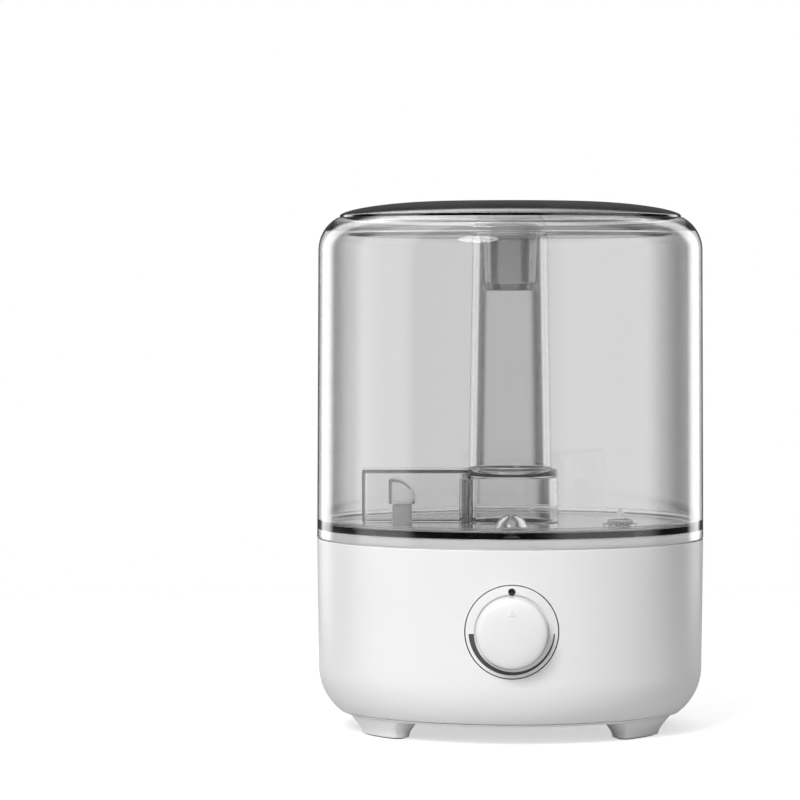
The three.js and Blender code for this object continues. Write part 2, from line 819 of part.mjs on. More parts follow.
function dialPanel() {
  const disc = rodY(panelRadius, -bodyRadius - 5, -bodyRadius / 2, 0, knobHeight, fine);
  const groove = common(scaleWedge(gap), frontWall(scaleDepth + gap, 1));
  const shaftHole = rodY(bushRadius + gap, -bodyRadius - 5, -bodyRadius / 2, 0, knobHeight, medium);
  const lampHole = rodY(indicatorRadius + gap, -bodyRadius - 5, -bodyRadius / 2, 0, indicatorZ, coarse);
  return cut(common(frontWall(shellWall), disc), groove, shaftHole, lampHole);
}

function knob() {
  const depth = knobFront - knobBack;
  const edge = knobRadius - knobTaper;
  const shoulder = depth - knobCrown;
  const outline = [
    [0, 0], [knobRadius, 0],
    ...arc(edge - knobRounding, shoulder - knobRounding, knobRounding, 0, 75, 5),
    [edge * 0.6, depth - knobCrown * 0.28],
    [edge * 0.3, depth - knobCrown * 0.06],
    [0, depth],
  ];
  const body = turned(outline, fine);
  const hollow = ring(stemBoss, knobRadius - knobWall, -1, depth * 0.6, fine);
  const nutSpace = rodZ(nutRadius + 1, -1, nutClear, 0, 0, medium);
  const bore = rodZ(shaftRadius + gap, -1, knobBoreDepth, 0, 0, medium);
  const half = pointerSize / 2;
  const pointerMiddle = knobRadius - pointerInset;
  const triangle = [[-half, pointerMiddle - half], [half, pointerMiddle - half], [0, pointerMiddle + half]];
  const pointer = loft([
    { outline: triangle, z: shoulder - 1 },
    { outline: triangle, z: depth - pointerDrop },
  ]);
  const solid = cut(join(body, pointer), hollow, nutSpace, bore);
  solid.rotateX(Math.PI / 2);
  solid.translate(0, -knobBack, knobHeight);
  return solid;
}

function potentiometer() {
  const half = potSize / 2;
  const bushFront = -potFront - bushLength;
  const boreBack = -potFront + potDepth - potBack;
  const box = block(-half, half, -potFront, -potFront + potDepth, knobHeight - half, knobHeight + half);
  const bush = rodY(bushRadius, bushFront, -potFront + 1, 0, knobHeight, medium);
  const bore = rodY(shaftRadius + gap, bushFront - 1, boreBack, 0, knobHeight, medium);
  return cut(join(box, bush), bore);
}

function potNut() {
  const back = -knobPanelRadius - gap;
  const nut = rodY(nutRadius, back - nutThickness, back, 0, knobHeight, 6);
  const hole = rodY(bushRadius + gap, -bodyRadius - 9, -bodyRadius / 2, 0, knobHeight, medium);
  return cut(nut, hole);
}

function indicatorBoard() {
  const back = panelInner - 4;
  const plate = block(-7, 7, -back, -back + 1.2, indicatorZ - 5, indicatorZ + 3.5);
  const lamp = rodY(1.5, -back - 2, -back + 0.5, 0, indicatorZ, coarse);
  return join(plate, lamp);
}

piece('dial_panel', dialPanel(), whiteAbs);
piece('mist_scale', common(scaleWedge(0), frontWall(scaleDepth)), darkPrint);
piece(
  'indicator_window',
  rodY(indicatorRadius, -outerRadius(indicatorZ), -panelInner + 1, 0, indicatorZ, coarse),
  blackPlastic,
);
piece('indicator_board', indicatorBoard(), circuitBoard);
piece('potentiometer', potentiometer(), nickel);
piece('potentiometer_nut', potNut(), steel);
piece('knob', knob(), whiteAbs);
piece(
  'knob_shaft',
  rodY(shaftRadius, -shaftFront, -potFront + potDepth - potBack - gap, 0, knobHeight, medium),
  nickel,
);

// ---------------------------------------------------------------- power inlet and leads

const inletFace = outerRadius(inletZ) - 0.4;
const inletBack = inletFace - inletDepth;

function powerInlet() {
  const barrel = rodY(inletRadius, inletBack, inletFace, 0, inletZ, medium);
  const body = block(-7, 7, inletBack, outerRadius(inletZ) - shellWall - 1.2, inletZ - 6, inletZ + 6);
  const bore = rodY(inletBore, inletFace - 9.5, inletFace + 1, 0, inletZ, medium);
  const pinHole = rodY(1 + gap, inletBack - 1, inletFace, 0, inletZ, coarse);
  return cut(join(barrel, body), bore, pinHole);
}

piece('power_inlet', powerInlet(), blackPlastic);
piece('inlet_pin', rodY(1, inletBack + 0.5, inletFace - 1.5, 0, inletZ, coarse), nickel);

const leadRadius = 0.9;
piece('inlet_lead', tubeAlong([
  [4, inletBack - 1.4, inletZ - 3],
  [6, inletBack - 10, inletZ - 4],
  [coilX - 8, boardDepth / 2 + 5, boardTop + 12],
  [coilX - 4, boardDepth / 2 - 4, boardTop + 7],
  [coilX - 4, boardDepth / 2 - 5, boardTop + gap],
], leadRadius, 24), blackPlastic);
piece('transducer_lead', tubeAlong([
  [2, 0, discBottom - 1.2],
  [3, -2, clampTop - clampThickness - 6],
  [8, -17, clampTop - clampThickness - 14],
  [boardX + 10, -19, boardTop + 8],
  [boardX + 10, -19, boardTop + gap],
], leadRadius, 24), copperLead);

// ---------------------------------------------------------------- float

const floatBottom = basinFloor + gap;
const magnetInner = floatPostRadius + runningGap + 0.8;

function floatRing() {
  const top = floatBottom + floatHeight;
  const body = ring(floatPostRadius + runningGap, floatRadius, floatBottom, top, medium);
  const groove = ring(magnetInner - gap, floatRadius - 0.8, top - 2.4 - gap, top + 1, medium);
  const solid = cut(body, groove);
  solid.translate(floatX, floatY, 0);
  return solid;
}

function floatMagnet() {
  const top = floatBottom + floatHeight;
  const magnet = ring(magnetInner, floatRadius - 0.8 - gap, top - 2.4, top - gap, medium);
  magnet.translate(floatX, floatY, 0);
  return magnet;
}

function floatRetainer() {
  const z0 = floatBottom + floatHeight + floatTravel + gap;
  const clip = ring(floatPostRadius + gap, floatPostRadius + 2, z0, z0 + 1.4, coarse);
  clip.translate(floatX, floatY, 0);
  return clip;
}

piece('float_ring', floatRing(), whiteFoam);
piece('float_magnet', floatMagnet(), ferrite);
piece('float_retainer', floatRetainer(), whiteAbs);
piece('reed_switch', rodZ(1.3, basinUnder, floatPostTop - 2 - gap, floatX, floatY, 12), ceramic);

// ---------------------------------------------------------------- tank

function tankWallSolid() {
  const innerShoulder = shoulderRadius - tankWall;
  const seatUnder = seatZ - tankWall;
  const seatAngle = THREE.MathUtils.radToDeg(Math.asin((seatUnder - shoulderZ) / innerShoulder));
  const rimAngle = THREE.MathUtils.radToDeg(Math.asin((rimZ - shoulderZ) / shoulderRadius));
  return turned([
    [tankInner, tankBottom],
    [bodyRadius, tankBottom],
    ...arc(shoulderR, shoulderZ, shoulderRadius, 0, rimAngle, 5),
    [mouthRadius, rimZ],
    [mouthRadius, seatZ],
    [mouthRadius - seatWidth, seatZ],
    [mouthRadius - seatWidth, seatUnder],
    ...arc(shoulderR, shoulderZ, innerShoulder, seatAngle, 0, 4),
  ], finest);
}

function tankFloor() {
  const edge = tankInner - gap;
  const disc = turned([
    [0, floorUnder],
    [edge, floorUnder],
    [edge, floorTop + floorRimHeight],
    [edge - floorRimWall, floorTop + floorRimHeight],
    [edge - floorRimWall, floorTop],
    [0, floorTop],
  ], finest);
  const bore = rodZ(collarRadius - collarWall, floorUnder - 1, floorTop + 1, 0, 0, fine);
  const half = chamberHalfWidth - chamberWall;
  const boxHole = block(chamberInnerEnd, 0, -half, half, floorUnder - 1, floorTop + 1);
  const dome = turned([
    [0, floorUnder + 0.5], [domeRadius, floorUnder + 0.5],
    [domeRadius, floorTop],
    ...arc(domeRadius - 3, floorTop + domeHeight - 3, 3, 0, 90, 4),
    [0, floorTop + domeHeight],
  ], medium);
  dome.translate(floatX, floatY, 0);
  const domeSpace = rodZ(
    domeRadius - domeWall, floorUnder - 1, floorTop + domeHeight - domeWall, floatX, floatY,
  );
  const valveRing = ring(
    valveRingRadius - valveRingWall, valveRingRadius, floorTop - 1, floorTop + valveRingHeight, medium,
  );
  valveRing.translate(valveX, valveY, 0);
  const valveBore = rodZ(valveHole, floorUnder - 1, floorTop + 1, valveX, valveY);
  return cut(join(disc, dome, valveRing), bore, boxHole, domeSpace, valveBore);
}

function mistChamber() {
  const bottom = floorTop + gap;
  const rounding = 2.4;
  const tubeBore = tubeFootRadius + gap;
  const collar = turned([
    [0, bottom],
    [collarRadius, bottom],
    ...arc(collarRadius - collarDraft - rounding, chamberTop - rounding, rounding, 0, 90, 4),
    [0, chamberTop],
  ], fine);
  const half = chamberHalfWidth;
  const box = block(chamberEnd, 0, -half, half, bottom, chamberTop);
  const inside = block(
    chamberInnerEnd, 0, -half + chamberWall, half - chamberWall, bottom - 1, chamberTop - chamberWall,
  );
  const bore = rodZ(collarRadius - collarWall, bottom - 1, tubeBottom - gap - 1.6, 0, 0, fine);
  const throat = rodZ(tubeFootRadius - tubeWall, bottom - 1, chamberTop + 1, 0, 0, fine);
  const seat = rodZ(tubeBore, tubeBottom - gap, chamberTop + 1, 0, 0, fine);
  return cut(join(collar, box), inside, bore, throat, seat);
}

function mistTube() {
  return turned([
    [tubeFootRadius - tubeWall, tubeBottom],
    [tubeFootRadius, tubeBottom],
    [tubeTopRadius, tubeTop],
    [tubeTopRadius - tubeWall, tubeTop],
  ], fine);
}

piece('tank_wall', tankWallSolid(), clearPlastic);
piece('tank_floor', tankFloor(), clearPlastic);
piece('mist_chamber', mistChamber(), clearPlastic);
piece('mist_tube', mistTube(), clearPlastic);
piece(
  'chamber_seal',
  ring(collarRadius - collarWall, collarRadius, floorUnder - gap - 1.8, floorUnder - gap, fine),
  silicone,
);

// ---------------------------------------------------------------- valve

const sealLow = floorTop + gap + valveLift;
const sealHigh = sealLow + valveSealThickness;

function valvePlunger() {
  const solid = turned([
    [0, stemBottom],
    [stemRadius + 1.6, stemBottom],
    [stemRadius + 1.6, stemBottom + 1.2],
    [stemRadius, stemBottom + 1.2],
    [stemRadius, sealHigh + gap],
    [coneRadius + 1.2, sealHigh + gap],
    [coneRadius + 1.2, sealHigh + gap + 0.6],
    [coneRadius, sealHigh + gap + 0.6],
    [0.5, sealHigh + coneHeight],
    [0, sealHigh + coneHeight],
  ], coarse);
  solid.translate(valveX, valveY, 0);
  return solid;
}

function valveGuide() {
  const top = floorUnder - gap;
  const body = rodZ(valveRingRadius, guideBottom, top, valveX, valveY);
  const stemHole = rodZ(stemRadius + runningGap, guideBottom - 1, top + 1, valveX, valveY, coarse);
  const ports = [0, 90, 180, 270].map((angle) => {
    const port = rodZ(1.6, guideBottom - 1, top + 1, 5.2, 0, coarse);
    port.rotateZ(radians(angle + 45));
    port.translate(valveX, valveY, 0);
    return port;
  });
  return cut(body, stemHole, ...ports);
}

const springTop = guideBottom - gap;
const springBottom = stemBottom + 1.2 + gap;

function valveSpring() {
  const steps = springTurns * 8;
  const reach = stemRadius + runningGap + springWire;
  const rise = springTop - springBottom - springWire * 2;
  const points = Array.from({ length: steps + 1 }, (_, i) => {
    const angle = i * 2 * Math.PI / 8;
    return [
      valveX + reach * Math.cos(angle),
      valveY + reach * Math.sin(angle),
      springBottom + springWire + rise * i / steps,
    ];
  });
  return tubeAlong(points, springWire, steps, 5);
}

const valveSeal = ring(stemRadius + gap, valveSealRadius, sealLow, sealHigh, medium);
valveSeal.translate(valveX, valveY, 0);
piece('valve_guide', valveGuide(), whiteAbs);
piece('valve_plunger', valvePlunger(), whiteAbs);
piece('valve_seal', valveSeal, silicone);
piece('valve_spring', valveSpring(), steel);

// ---------------------------------------------------------------- lid and nozzle

// Height of the domed top at a radius: flat in the middle, then falling ever faster.
function domeZ(radius) {
  const t = Math.min(1, Math.max(0, (radius - lidFlat) / (lidRadius - lidFlat)));
  const fullness = 1.7;
  return overallHeight - domeDrop * (1 - (1 - t ** fullness) ** (1 / fullness));
}

function lid() {
  const top = [];
  const under = [];
  for (const t of [0, 0.35, 0.65, 0.85, 0.95, 1]) {
    const radius = lidFlat + (lidRadius - lidFlat) * t;
    top.push([radius, domeZ(radius)]);
  }
  for (const t of [0, 0.5, 0.9, 1]) {
    const radius = lidFlat + (lidRadius - lidWall - lidFlat) * t;
    under.push([radius, domeZ(radius) - lidWall]);
  }
  const holeRadius = sleeveTopRadius + runningGap;
  const capSeat = overallHeight - capThickness - gap;
  return turned([
    [holeRadius, capSeat - lidWall],
    [holeRadius, capSeat],
    [capRadius + gap, capSeat],
    [capRadius + gap, overallHeight],
    ...top,
    [lidRadius, seatZ + gap],
    [lidRadius - lidWall, seatZ + gap],
    ...under.reverse(),
    [capRadius + lidWall, overallHeight - lidWall],
    [capRadius + lidWall, capSeat - lidWall],
  ], finest);
}

function nozzleCap() {
  const under = overallHeight - capThickness;
  const disc = rodZ(capRadius, under, overallHeight, 0, 0, fine);
  const slot = join(
    block(-7, 7, -4, 4, under - 1, overallHeight + 1),
    rodZ(4, under - 1, overallHeight + 1, -7, 0),
    rodZ(4, under - 1, overallHeight + 1, 7, 0),
  );
  return cut(disc, slot);
}

function nozzleSleeve() {
  const top = overallHeight - capThickness - gap;
  const bottom = tubeTop - sleeveLength;
  const ringTop = bottom + sleeveRing;
  const flangeLow = tubeTop + gap;
  const flangeRadius = tubeTopRadius - 0.75;
  return turned([
    [sleeveFootRadius - sleeveWall, bottom],
    [sleeveFootRadius + sleeveRingWall, bottom],
    [sleeveFootRadius + sleeveRingWall, ringTop],
    [sleeveFootRadius, ringTop],
    [sleeveTopRadius, flangeLow],
    [flangeRadius, flangeLow],
    [flangeRadius, flangeLow + flangeThickness],
    [sleeveTopRadius, flangeLow + flangeThickness],
    [sleeveTopRadius, top],
    [sleeveTopRadius - sleeveWall, top],
  ], fine);
}

piece('lid', lid(), smokedPlastic);
piece('nozzle_cap', nozzleCap(), smokedPlastic);
piece('nozzle_sleeve', nozzleSleeve(), smokedPlastic);

// The whole is moved so that its overall box stands centred on the origin.
humidifier.position.y = (knobFront - bodyRadius) / 2;

export default humidifier;
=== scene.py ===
# %% [markdown]
# A cool mist humidifier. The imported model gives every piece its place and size; this script
# gives them their finished surfaces. The object is mostly clear plastic, so the lesson is
# about walls with a real thickness: light has to pass through each one twice, so every
# clear piece is a closed solid and no two of them share a face.

# %% The frame and its first measures
import json
import math

import bmesh
import bpy
from mathutils import Matrix, Vector


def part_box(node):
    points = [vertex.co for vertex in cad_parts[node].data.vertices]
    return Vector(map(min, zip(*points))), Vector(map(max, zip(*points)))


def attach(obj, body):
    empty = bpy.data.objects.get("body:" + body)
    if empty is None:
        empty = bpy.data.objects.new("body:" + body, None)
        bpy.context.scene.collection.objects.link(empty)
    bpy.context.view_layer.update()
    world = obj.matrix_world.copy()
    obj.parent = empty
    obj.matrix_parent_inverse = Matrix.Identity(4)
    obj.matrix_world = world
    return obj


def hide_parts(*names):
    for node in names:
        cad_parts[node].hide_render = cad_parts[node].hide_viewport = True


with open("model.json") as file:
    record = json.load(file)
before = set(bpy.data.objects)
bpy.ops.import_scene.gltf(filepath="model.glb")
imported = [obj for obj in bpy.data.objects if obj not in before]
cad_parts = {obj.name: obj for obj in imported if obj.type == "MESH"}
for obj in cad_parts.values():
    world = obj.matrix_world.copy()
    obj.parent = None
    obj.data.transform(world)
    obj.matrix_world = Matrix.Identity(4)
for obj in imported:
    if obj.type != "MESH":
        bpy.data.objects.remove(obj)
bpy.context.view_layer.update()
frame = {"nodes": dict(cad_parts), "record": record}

MM = 0.001
wall_low, wall_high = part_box("tank_wall")
AXIS = Vector(((wall_low.x + wall_high.x) / 2, (wall_low.y + wall_high.y) / 2, 0))
BODY_RADIUS = (wall_high.x - wall_low.x) / 2
print("tank axis", [round(v / MM, 2) for v in AXIS], "radius", round(BODY_RADIUS / MM, 2))

# %% [markdown]
# The camera stands two metres away with a long lens, a little above the tank's floor, as a
# product photographer's does: the farther the camera, the straighter the upright edges.
# It is panned left and tilted down instead of using a lens shift, so that any other view
# of the object stays in the middle of its own frame.

# %% The camera
CAMERA_DISTANCE = 2.05
CAMERA_HEIGHT = 0.232
CAMERA_ASIDE = -0.020
FRAME_WIDTH = 0.4105
PAN = math.radians(1.02)
TILT = math.radians(1.784)

camera_data = bpy.data.cameras.new("camera")
camera_data.sensor_width = 36
camera_data.lens = camera_data.sensor_width * CAMERA_DISTANCE / FRAME_WIDTH
camera = bpy.data.objects.new("camera", camera_data)
camera.location = (AXIS.x + CAMERA_ASIDE, AXIS.y - CAMERA_DISTANCE, CAMERA_HEIGHT)
camera.rotation_euler = (math.radians(90) - TILT, 0, PAN)
bpy.context.scene.collection.objects.link(camera)
bpy.context.scene.camera = camera
print("lens", round(camera_data.lens, 1), "mm")

# %% [markdown]
# A light tent, set up as for glassware. The backdrop is plain white, and clear plastic is
# lit through from it. A ray that a wall bends a little falls in the dark gap beside the
# backdrop, which draws the edges, and one that is bent far off finds the bright sides.
# Reflections see the tent's inside: a dim room and a roof that glows, more on the left,
# with a tall soft box at each side and a narrow one behind each shoulder. Matt surfaces
# are lit by a broad glow, weaker on the right, and by the lamp.

# %% The tent
def add(tree, kind, inputs=None, **settings):
    """Adds a node with its settings; an input is a value, or another node's output."""
    new = tree.nodes.new(kind)
    for key, value in settings.items():
        setattr(new, key, value)
    for socket, value in (inputs or {}).items():
        if isinstance(value, bpy.types.NodeSocket):
            tree.links.new(value, new.inputs[socket])
        else:
            new.inputs[socket].default_value = value
    return new


BACKDROP = 1.0
THROUGH = 0.78
THROUGH_DARK = 0.08
DARK_EDGES = (0.06, 0.11, 0.17, 0.27)
THROUGH_SIDES = 1.4
FRONT_LIGHT = 1.0
ROOM = 0.1
SIDE_BOXES = [
    {"centre": -82, "half": 20, "soft": 6, "power": 2.3},
    {"centre": 60, "half": 34, "soft": 9, "power": 1.9},
]
RIM_BOXES = [
    {"centre": -143, "half": 9, "soft": 5, "power": 3.0},
    {"centre": 143, "half": 9, "soft": 5, "power": 2.8},
]
ROOF = (0.45, 0.75)
ROOF_POWER = 5.0
GLOW = (0.27, 0.5)
GLOW_RIGHT = 0.45

scene = bpy.context.scene
world = bpy.data.worlds.new("tent")
scene.world = world
world.use_nodes = True
tent = world.node_tree
tent.nodes.clear()
way = add(tent, "ShaderNodeTexCoord").outputs["Generated"]
parts = add(tent, "ShaderNodeSeparateXYZ", {0: way}).outputs


def sums(operation, first, second):
    """One sum of two values of the tent."""
    return add(tent, "ShaderNodeMath", {0: first, 1: second}, operation=operation).outputs[0]


def ease(value, start, end, low, high):
    """A value that eases from low at start to high at end."""
    return add(
        tent, "ShaderNodeMapRange", {0: value, 1: start, 2: end, 3: low, 4: high},
        interpolation_type="SMOOTHSTEP",
    ).outputs[0]


angle = sums("ARCTAN2", parts["X"], sums("MULTIPLY", parts["Y"], -1.0))


def soft_box(centre, half, soft, power):
    """A band of directions round the object that glows."""
    away = sums("ABSOLUTE", sums("SUBTRACT", angle, math.radians(centre)), 0.0)
    band = ease(away, math.radians(half - soft), math.radians(half + soft), power, 0.0)
    return sums("MULTIPLY", band, ease(parts["Z"], -0.45, -0.15, 0.0, 1.0))


rims = sums("ADD", soft_box(**RIM_BOXES[0]), soft_box(**RIM_BOXES[1]))
roof = sums(
    "MULTIPLY", ease(parts["Z"], *ROOF, 0.0, ROOF_POWER), ease(parts["X"], -0.3, 0.4, 1.0, 0.3)
)
reflected = sums("ADD", sums("ADD", rims, roof), ROOM)
for box in SIDE_BOXES:
    reflected = sums("ADD", reflected, soft_box(**box))
broad = sums(
    "MULTIPLY", ease(parts["Z"], -0.2, 0.9, *GLOW), ease(parts["X"], 0.1, 0.9, 1.0, GLOW_RIGHT)
)
aside = sums("ABSOLUTE", parts["X"], 0.0)
window = sums(
    "ADD", ease(aside, *DARK_EDGES[:2], THROUGH, THROUGH_DARK),
    ease(aside, *DARK_EDGES[2:], 0.0, THROUGH_SIDES - THROUGH_DARK),
)
ahead = ease(parts["Y"], -0.1, 0.25, 1.0, 0.0)
through = add(
    tent, "ShaderNodeMix", {0: ahead, 2: window, 3: FRONT_LIGHT}, data_type="FLOAT"
).outputs[0]
path = add(tent, "ShaderNodeLightPath").outputs
strength = broad
for kind, light in (
    ("Is Glossy Ray", reflected), ("Is Transmission Ray", through), ("Is Camera Ray", BACKDROP),
):
    strength = add(
        tent, "ShaderNodeMix", {0: path[kind], 2: strength, 3: light}, data_type="FLOAT"
    ).outputs[0]
background = add(tent, "ShaderNodeBackground", {"Color": (1, 1, 1, 1), "Strength": strength})
add(tent, "ShaderNodeOutputWorld", {"Surface": background.outputs[0]})
print("tent nodes", len(tent.nodes))

# %% [markdown]
# Nearly every piece of this humidifier is round, so most are drawn as a lathe tool would see
# them: one closed outline of radius and height, turned about the tank's axis. A corner that
# carries a third number is rounded by that many millimetres, because a moulded edge is
# never sharp and it is the little radius that catches the light.

# %% Outlines with rounded corners
TURN_STEPS = 180
FILLET_STEPS = 6
SHARP = math.radians(38)


def rounded(outline):
    """The points of a closed outline of (r, z) or (r, z, fillet) corners."""
    points = []
    for i, corner in enumerate(outline):
        here = Vector(corner[:2])
        if len(corner) == 2:
            points.append(here)
            continue
        back = Vector(outline[i - 1][:2]) - here
        ahead = Vector(outline[(i + 1) % len(outline)][:2]) - here
        half = back.angle(ahead) / 2
        reach = min(corner[2] / math.tan(half), back.length * 0.48, ahead.length * 0.48)
        middle = here + (back.normalized() + ahead.normalized()).normalized() * (reach / math.cos(half))
        start = here + back.normalized() * reach - middle
        turn = start.angle_signed(here + ahead.normalized() * reach - middle)
        for k in range(FILLET_STEPS + 1):
            points.append(middle + Matrix.Rotation(-turn * k / FILLET_STEPS, 2) @ start)
    return points


def arc(r, z, radius, start, end, steps=16):
    """Points on a circle about (r, z), from one angle to another in degrees."""
    angles = [math.radians(start + (end - start) * k / steps) for k in range(steps + 1)]
    return [(r + radius * math.cos(a), z + radius * math.sin(a)) for a in angles]


one_fillet = rounded([(0, 0), (10, 0, 2), (10, 5), (0, 5)])
print("fillet check", [tuple(round(v, 2) for v in point) for point in one_fillet])

# %% [markdown]
# A mesh is drawn in millimetres about the tank's axis and turned to metres when it is kept.
# Faces are shaded smooth except across real edges, and the Weighted Normal modifier lets
# the big faces set the shading, so that a flat wall stays flat right up to its fillet.

# %% Keeping a mesh
FRONT = Matrix.Rotation(math.radians(90), 4, "X")


def keep(name, mesh, place=Matrix.Identity(4)):
    """Turns a bmesh drawn in millimetres into an object of the scene."""
    bmesh.ops.remove_doubles(mesh, verts=mesh.verts, dist=1e-4)
    bmesh.ops.recalc_face_normals(mesh, faces=mesh.faces)
    mesh.transform(Matrix.Translation(AXIS) @ Matrix.Scale(MM, 4) @ place)
    data = bpy.data.meshes.new(name)
    mesh.to_mesh(data)
    mesh.free()
    obj = bpy.data.objects.new(name, data)
    scene.collection.objects.link(obj)
    return obj


def smooth(obj):
    """Smooth shading that keeps the real edges."""
    data = obj.data
    data.polygons.foreach_set("use_smooth", [True] * len(data.polygons))
    mesh = bmesh.new()
    mesh.from_mesh(data)
    for edge in mesh.edges:
        edge.smooth = len(edge.link_faces) == 2 and edge.calc_face_angle() < SHARP
    mesh.to_mesh(data)
    mesh.free()
    even = obj.modifiers.new("even shading", "WEIGHTED_NORMAL")
    even.keep_sharp = True
    return obj


def turned(name, outline, place=Matrix.Identity(4), steps=TURN_STEPS):
    """A closed outline turned about +Z, or about the front with place=FRONT."""
    mesh = bmesh.new()
    rings = []
    for r, z in rounded(outline):
        if r < 1e-6:
            rings.append([mesh.verts.new((0, 0, z))] * steps)
            continue
        angles = [2 * math.pi * k / steps for k in range(steps)]
        rings.append([mesh.verts.new((r * math.cos(a), r * math.sin(a), z)) for a in angles])
    for low, high in zip(rings, rings[1:] + rings[:1]):
        for k in range(steps):
            corners = [low[k - 1], low[k], high[k], high[k - 1]]
            kept = [v for i, v in enumerate(corners) if v is not corners[i - 1]]
            if len(set(kept)) > 2:
                mesh.faces.new(kept)
    return keep(name, mesh, place)


def at(x, y, z=0):
    """A shift in millimetres."""
    return Matrix.Translation((x, y, z))


# %% [markdown]
# Boxes and prisms are moulded too, so they get the same small radius on every edge. The
# outline is lofted: the same ring of points at several heights, each with its own size.
# Holes and joins are Boolean modifiers, applied at once, so that the kept mesh is final.

# %% Lofts, rounded boxes and Booleans
def loft(name, rings, place=Matrix.Identity(4)):
    """Rings with the same number of (x, y, z) points, joined into a closed solid."""
    mesh = bmesh.new()
    rows = [[mesh.verts.new(point) for point in ring] for ring in rings]
    for low, high in zip(rows, rows[1:]):
        for k in range(len(low)):
            mesh.faces.new([low[k - 1], low[k], high[k], high[k - 1]])
    mesh.faces.new(rows[0])
    mesh.faces.new(rows[-1])
    return keep(name, mesh, place)


def pushed(name, outline, start, end, edge=0.0, place=Matrix.Identity(4)):
    """A flat outline of (x, y) or (x, y, fillet) corners pushed along Z, its rims rounded."""
    flat = rounded(outline)
    middle = sum(flat, Vector((0, 0))) / len(flat)
    reach = max((point - middle).length for point in flat)
    rings = []
    for k in range(FILLET_STEPS + 1 if edge else 1):
        angle = math.radians(90) * k / FILLET_STEPS
        rings.append((edge * (1 - math.sin(angle)), start + edge * (1 - math.cos(angle))))
    rings += [(inset, end - (z - start)) for inset, z in reversed(rings)]
    rows = []
    for inset, z in rings:
        scale = 1 - inset / reach
        rows.append([(*(middle + (point - middle) * scale), z) for point in flat])
    return loft(name, rows, place)


def rounded_box(name, x, y, z, radius):
    """A box from its three spans, with every edge rounded."""
    mesh = bmesh.new()
    bmesh.ops.create_cube(mesh, size=1)
    size = [span[1] - span[0] for span in (x, y, z)]
    centre = [(span[1] + span[0]) / 2 for span in (x, y, z)]
    mesh.transform(Matrix.Translation(centre) @ Matrix.Diagonal((*size, 1)))
    if radius:
        bmesh.ops.bevel(mesh, geom=mesh.edges[:], offset=radius, segments=4, profile=0.5, affect="EDGES")
    return keep(name, mesh)


def carve(obj, *tools, operation="DIFFERENCE"):
    """Cuts the tools out of obj, or joins them to it, for good."""
    for tool in tools:
        step = obj.modifiers.new("carve", "BOOLEAN")
        step.object = tool
        step.operation = operation
        step.solver = "EXACT"
        view = bpy.context.evaluated_depsgraph_get()
        view.update()
        done = bpy.data.meshes.new_from_object(obj.evaluated_get(view))
        obj.modifiers.clear()
        obj.data = done
        bpy.data.objects.remove(tool)
    return obj


def rod(radius, z0, z1, place=Matrix.Identity(4), steps=64):
    """A plain cylinder to cut or join with."""
    return turned("tool", [(0, z0), (radius, z0), (radius, z1), (0, z1)], place, steps)


def span(node):
    """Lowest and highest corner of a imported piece, in millimetres about the tank's axis."""
    return [(corner - AXIS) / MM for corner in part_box(node)]


print("base shell spans", [tuple(round(v, 1) for v in corner) for corner in span("base_shell")])

# %% [markdown]
# First the materials, since every piece is finished as it is made. Colours are written as
# a painter would pick them on a screen, and one function turns them into light.

# %% Colours and a first shader
def linear(code):
    """A screen colour such as #f2f2f0 as linear light."""
    values = [int(code[i:i + 2], 16) / 255 for i in (1, 3, 5)]
    return (*[v / 12.92 if v <= 0.04045 else ((v + 0.055) / 1.055) ** 2.4 for v in values], 1)


def shader(name, colour, **values):
    """A material with one Principled shader and plain values; returns it, its tree and shader."""
    material = bpy.data.materials.new(name)
    material.use_nodes = True
    tree = material.node_tree
    principled = tree.nodes["Principled BSDF"]
    principled.inputs["Base Color"].default_value = linear(colour)
    for socket, value in values.items():
        principled.inputs[socket.replace("_", " ")].default_value = value
    return material, tree, principled


def noise(tree, size, detail=2.0, rough=0.5):
    """Noise whose blobs are about that many millimetres across."""
    place = add(tree, "ShaderNodeTexCoord").outputs["Object"]
    return add(
        tree, "ShaderNodeTexNoise",
        {"Vector": place, "Scale": 1 / (size * MM), "Detail": detail, "Roughness": rough},
    ).outputs["Fac"]


def vary(tree, principled, socket, source, low, high):
    """Lets a noise move a plain value a little."""
    spread = add(tree, "ShaderNodeMapRange", {0: source, 1: 0.3, 2: 0.7, 3: low, 4: high})
    tree.links.new(spread.outputs[0], principled.inputs[socket])


def tint(tree, principled, source, dark, light):
    """Lets a noise move the colour between two screen colours."""
    ramp = add(tree, "ShaderNodeValToRGB", {"Fac": source})
    ramp.color_ramp.elements[0].position = 0.3
    ramp.color_ramp.elements[0].color = linear(dark)
    ramp.color_ramp.elements[1].position = 0.7
    ramp.color_ramp.elements[1].color = linear(light)
    tree.links.new(ramp.outputs["Color"], principled.inputs["Base Color"])


def relief(tree, principled, source, height, strength=1.0):
    """A bump as tall as height in millimetres."""
    bump = add(tree, "ShaderNodeBump", {"Strength": strength, "Distance": height * MM, "Height": source})
    tree.links.new(bump.outputs["Normal"], principled.inputs["Normal"])


print("white as light", [round(v, 3) for v in linear("#f2f2f0")])

# %% [markdown]
# ABS, injection moulded: the base, the knob and the feet. The mould is lightly polished, so
# the plastic has a soft sheen and a grain of about a tenth of a millimetre. The grain is
# drawn four times as coarse, or it would vanish between two samples.

# %% White ABS
white_abs, tree, principled = shader("white_abs", "#f4f4f3", Roughness=0.34, IOR=1.54)
tint(tree, principled, noise(tree, 60, 1), "#f2f2f2", "#f6f6f7")
vary(tree, principled, "Roughness", noise(tree, 8, 3), 0.31, 0.38)
relief(tree, principled, noise(tree, 0.4, 2), 0.004)
print(white_abs.name, len(tree.nodes), "nodes")

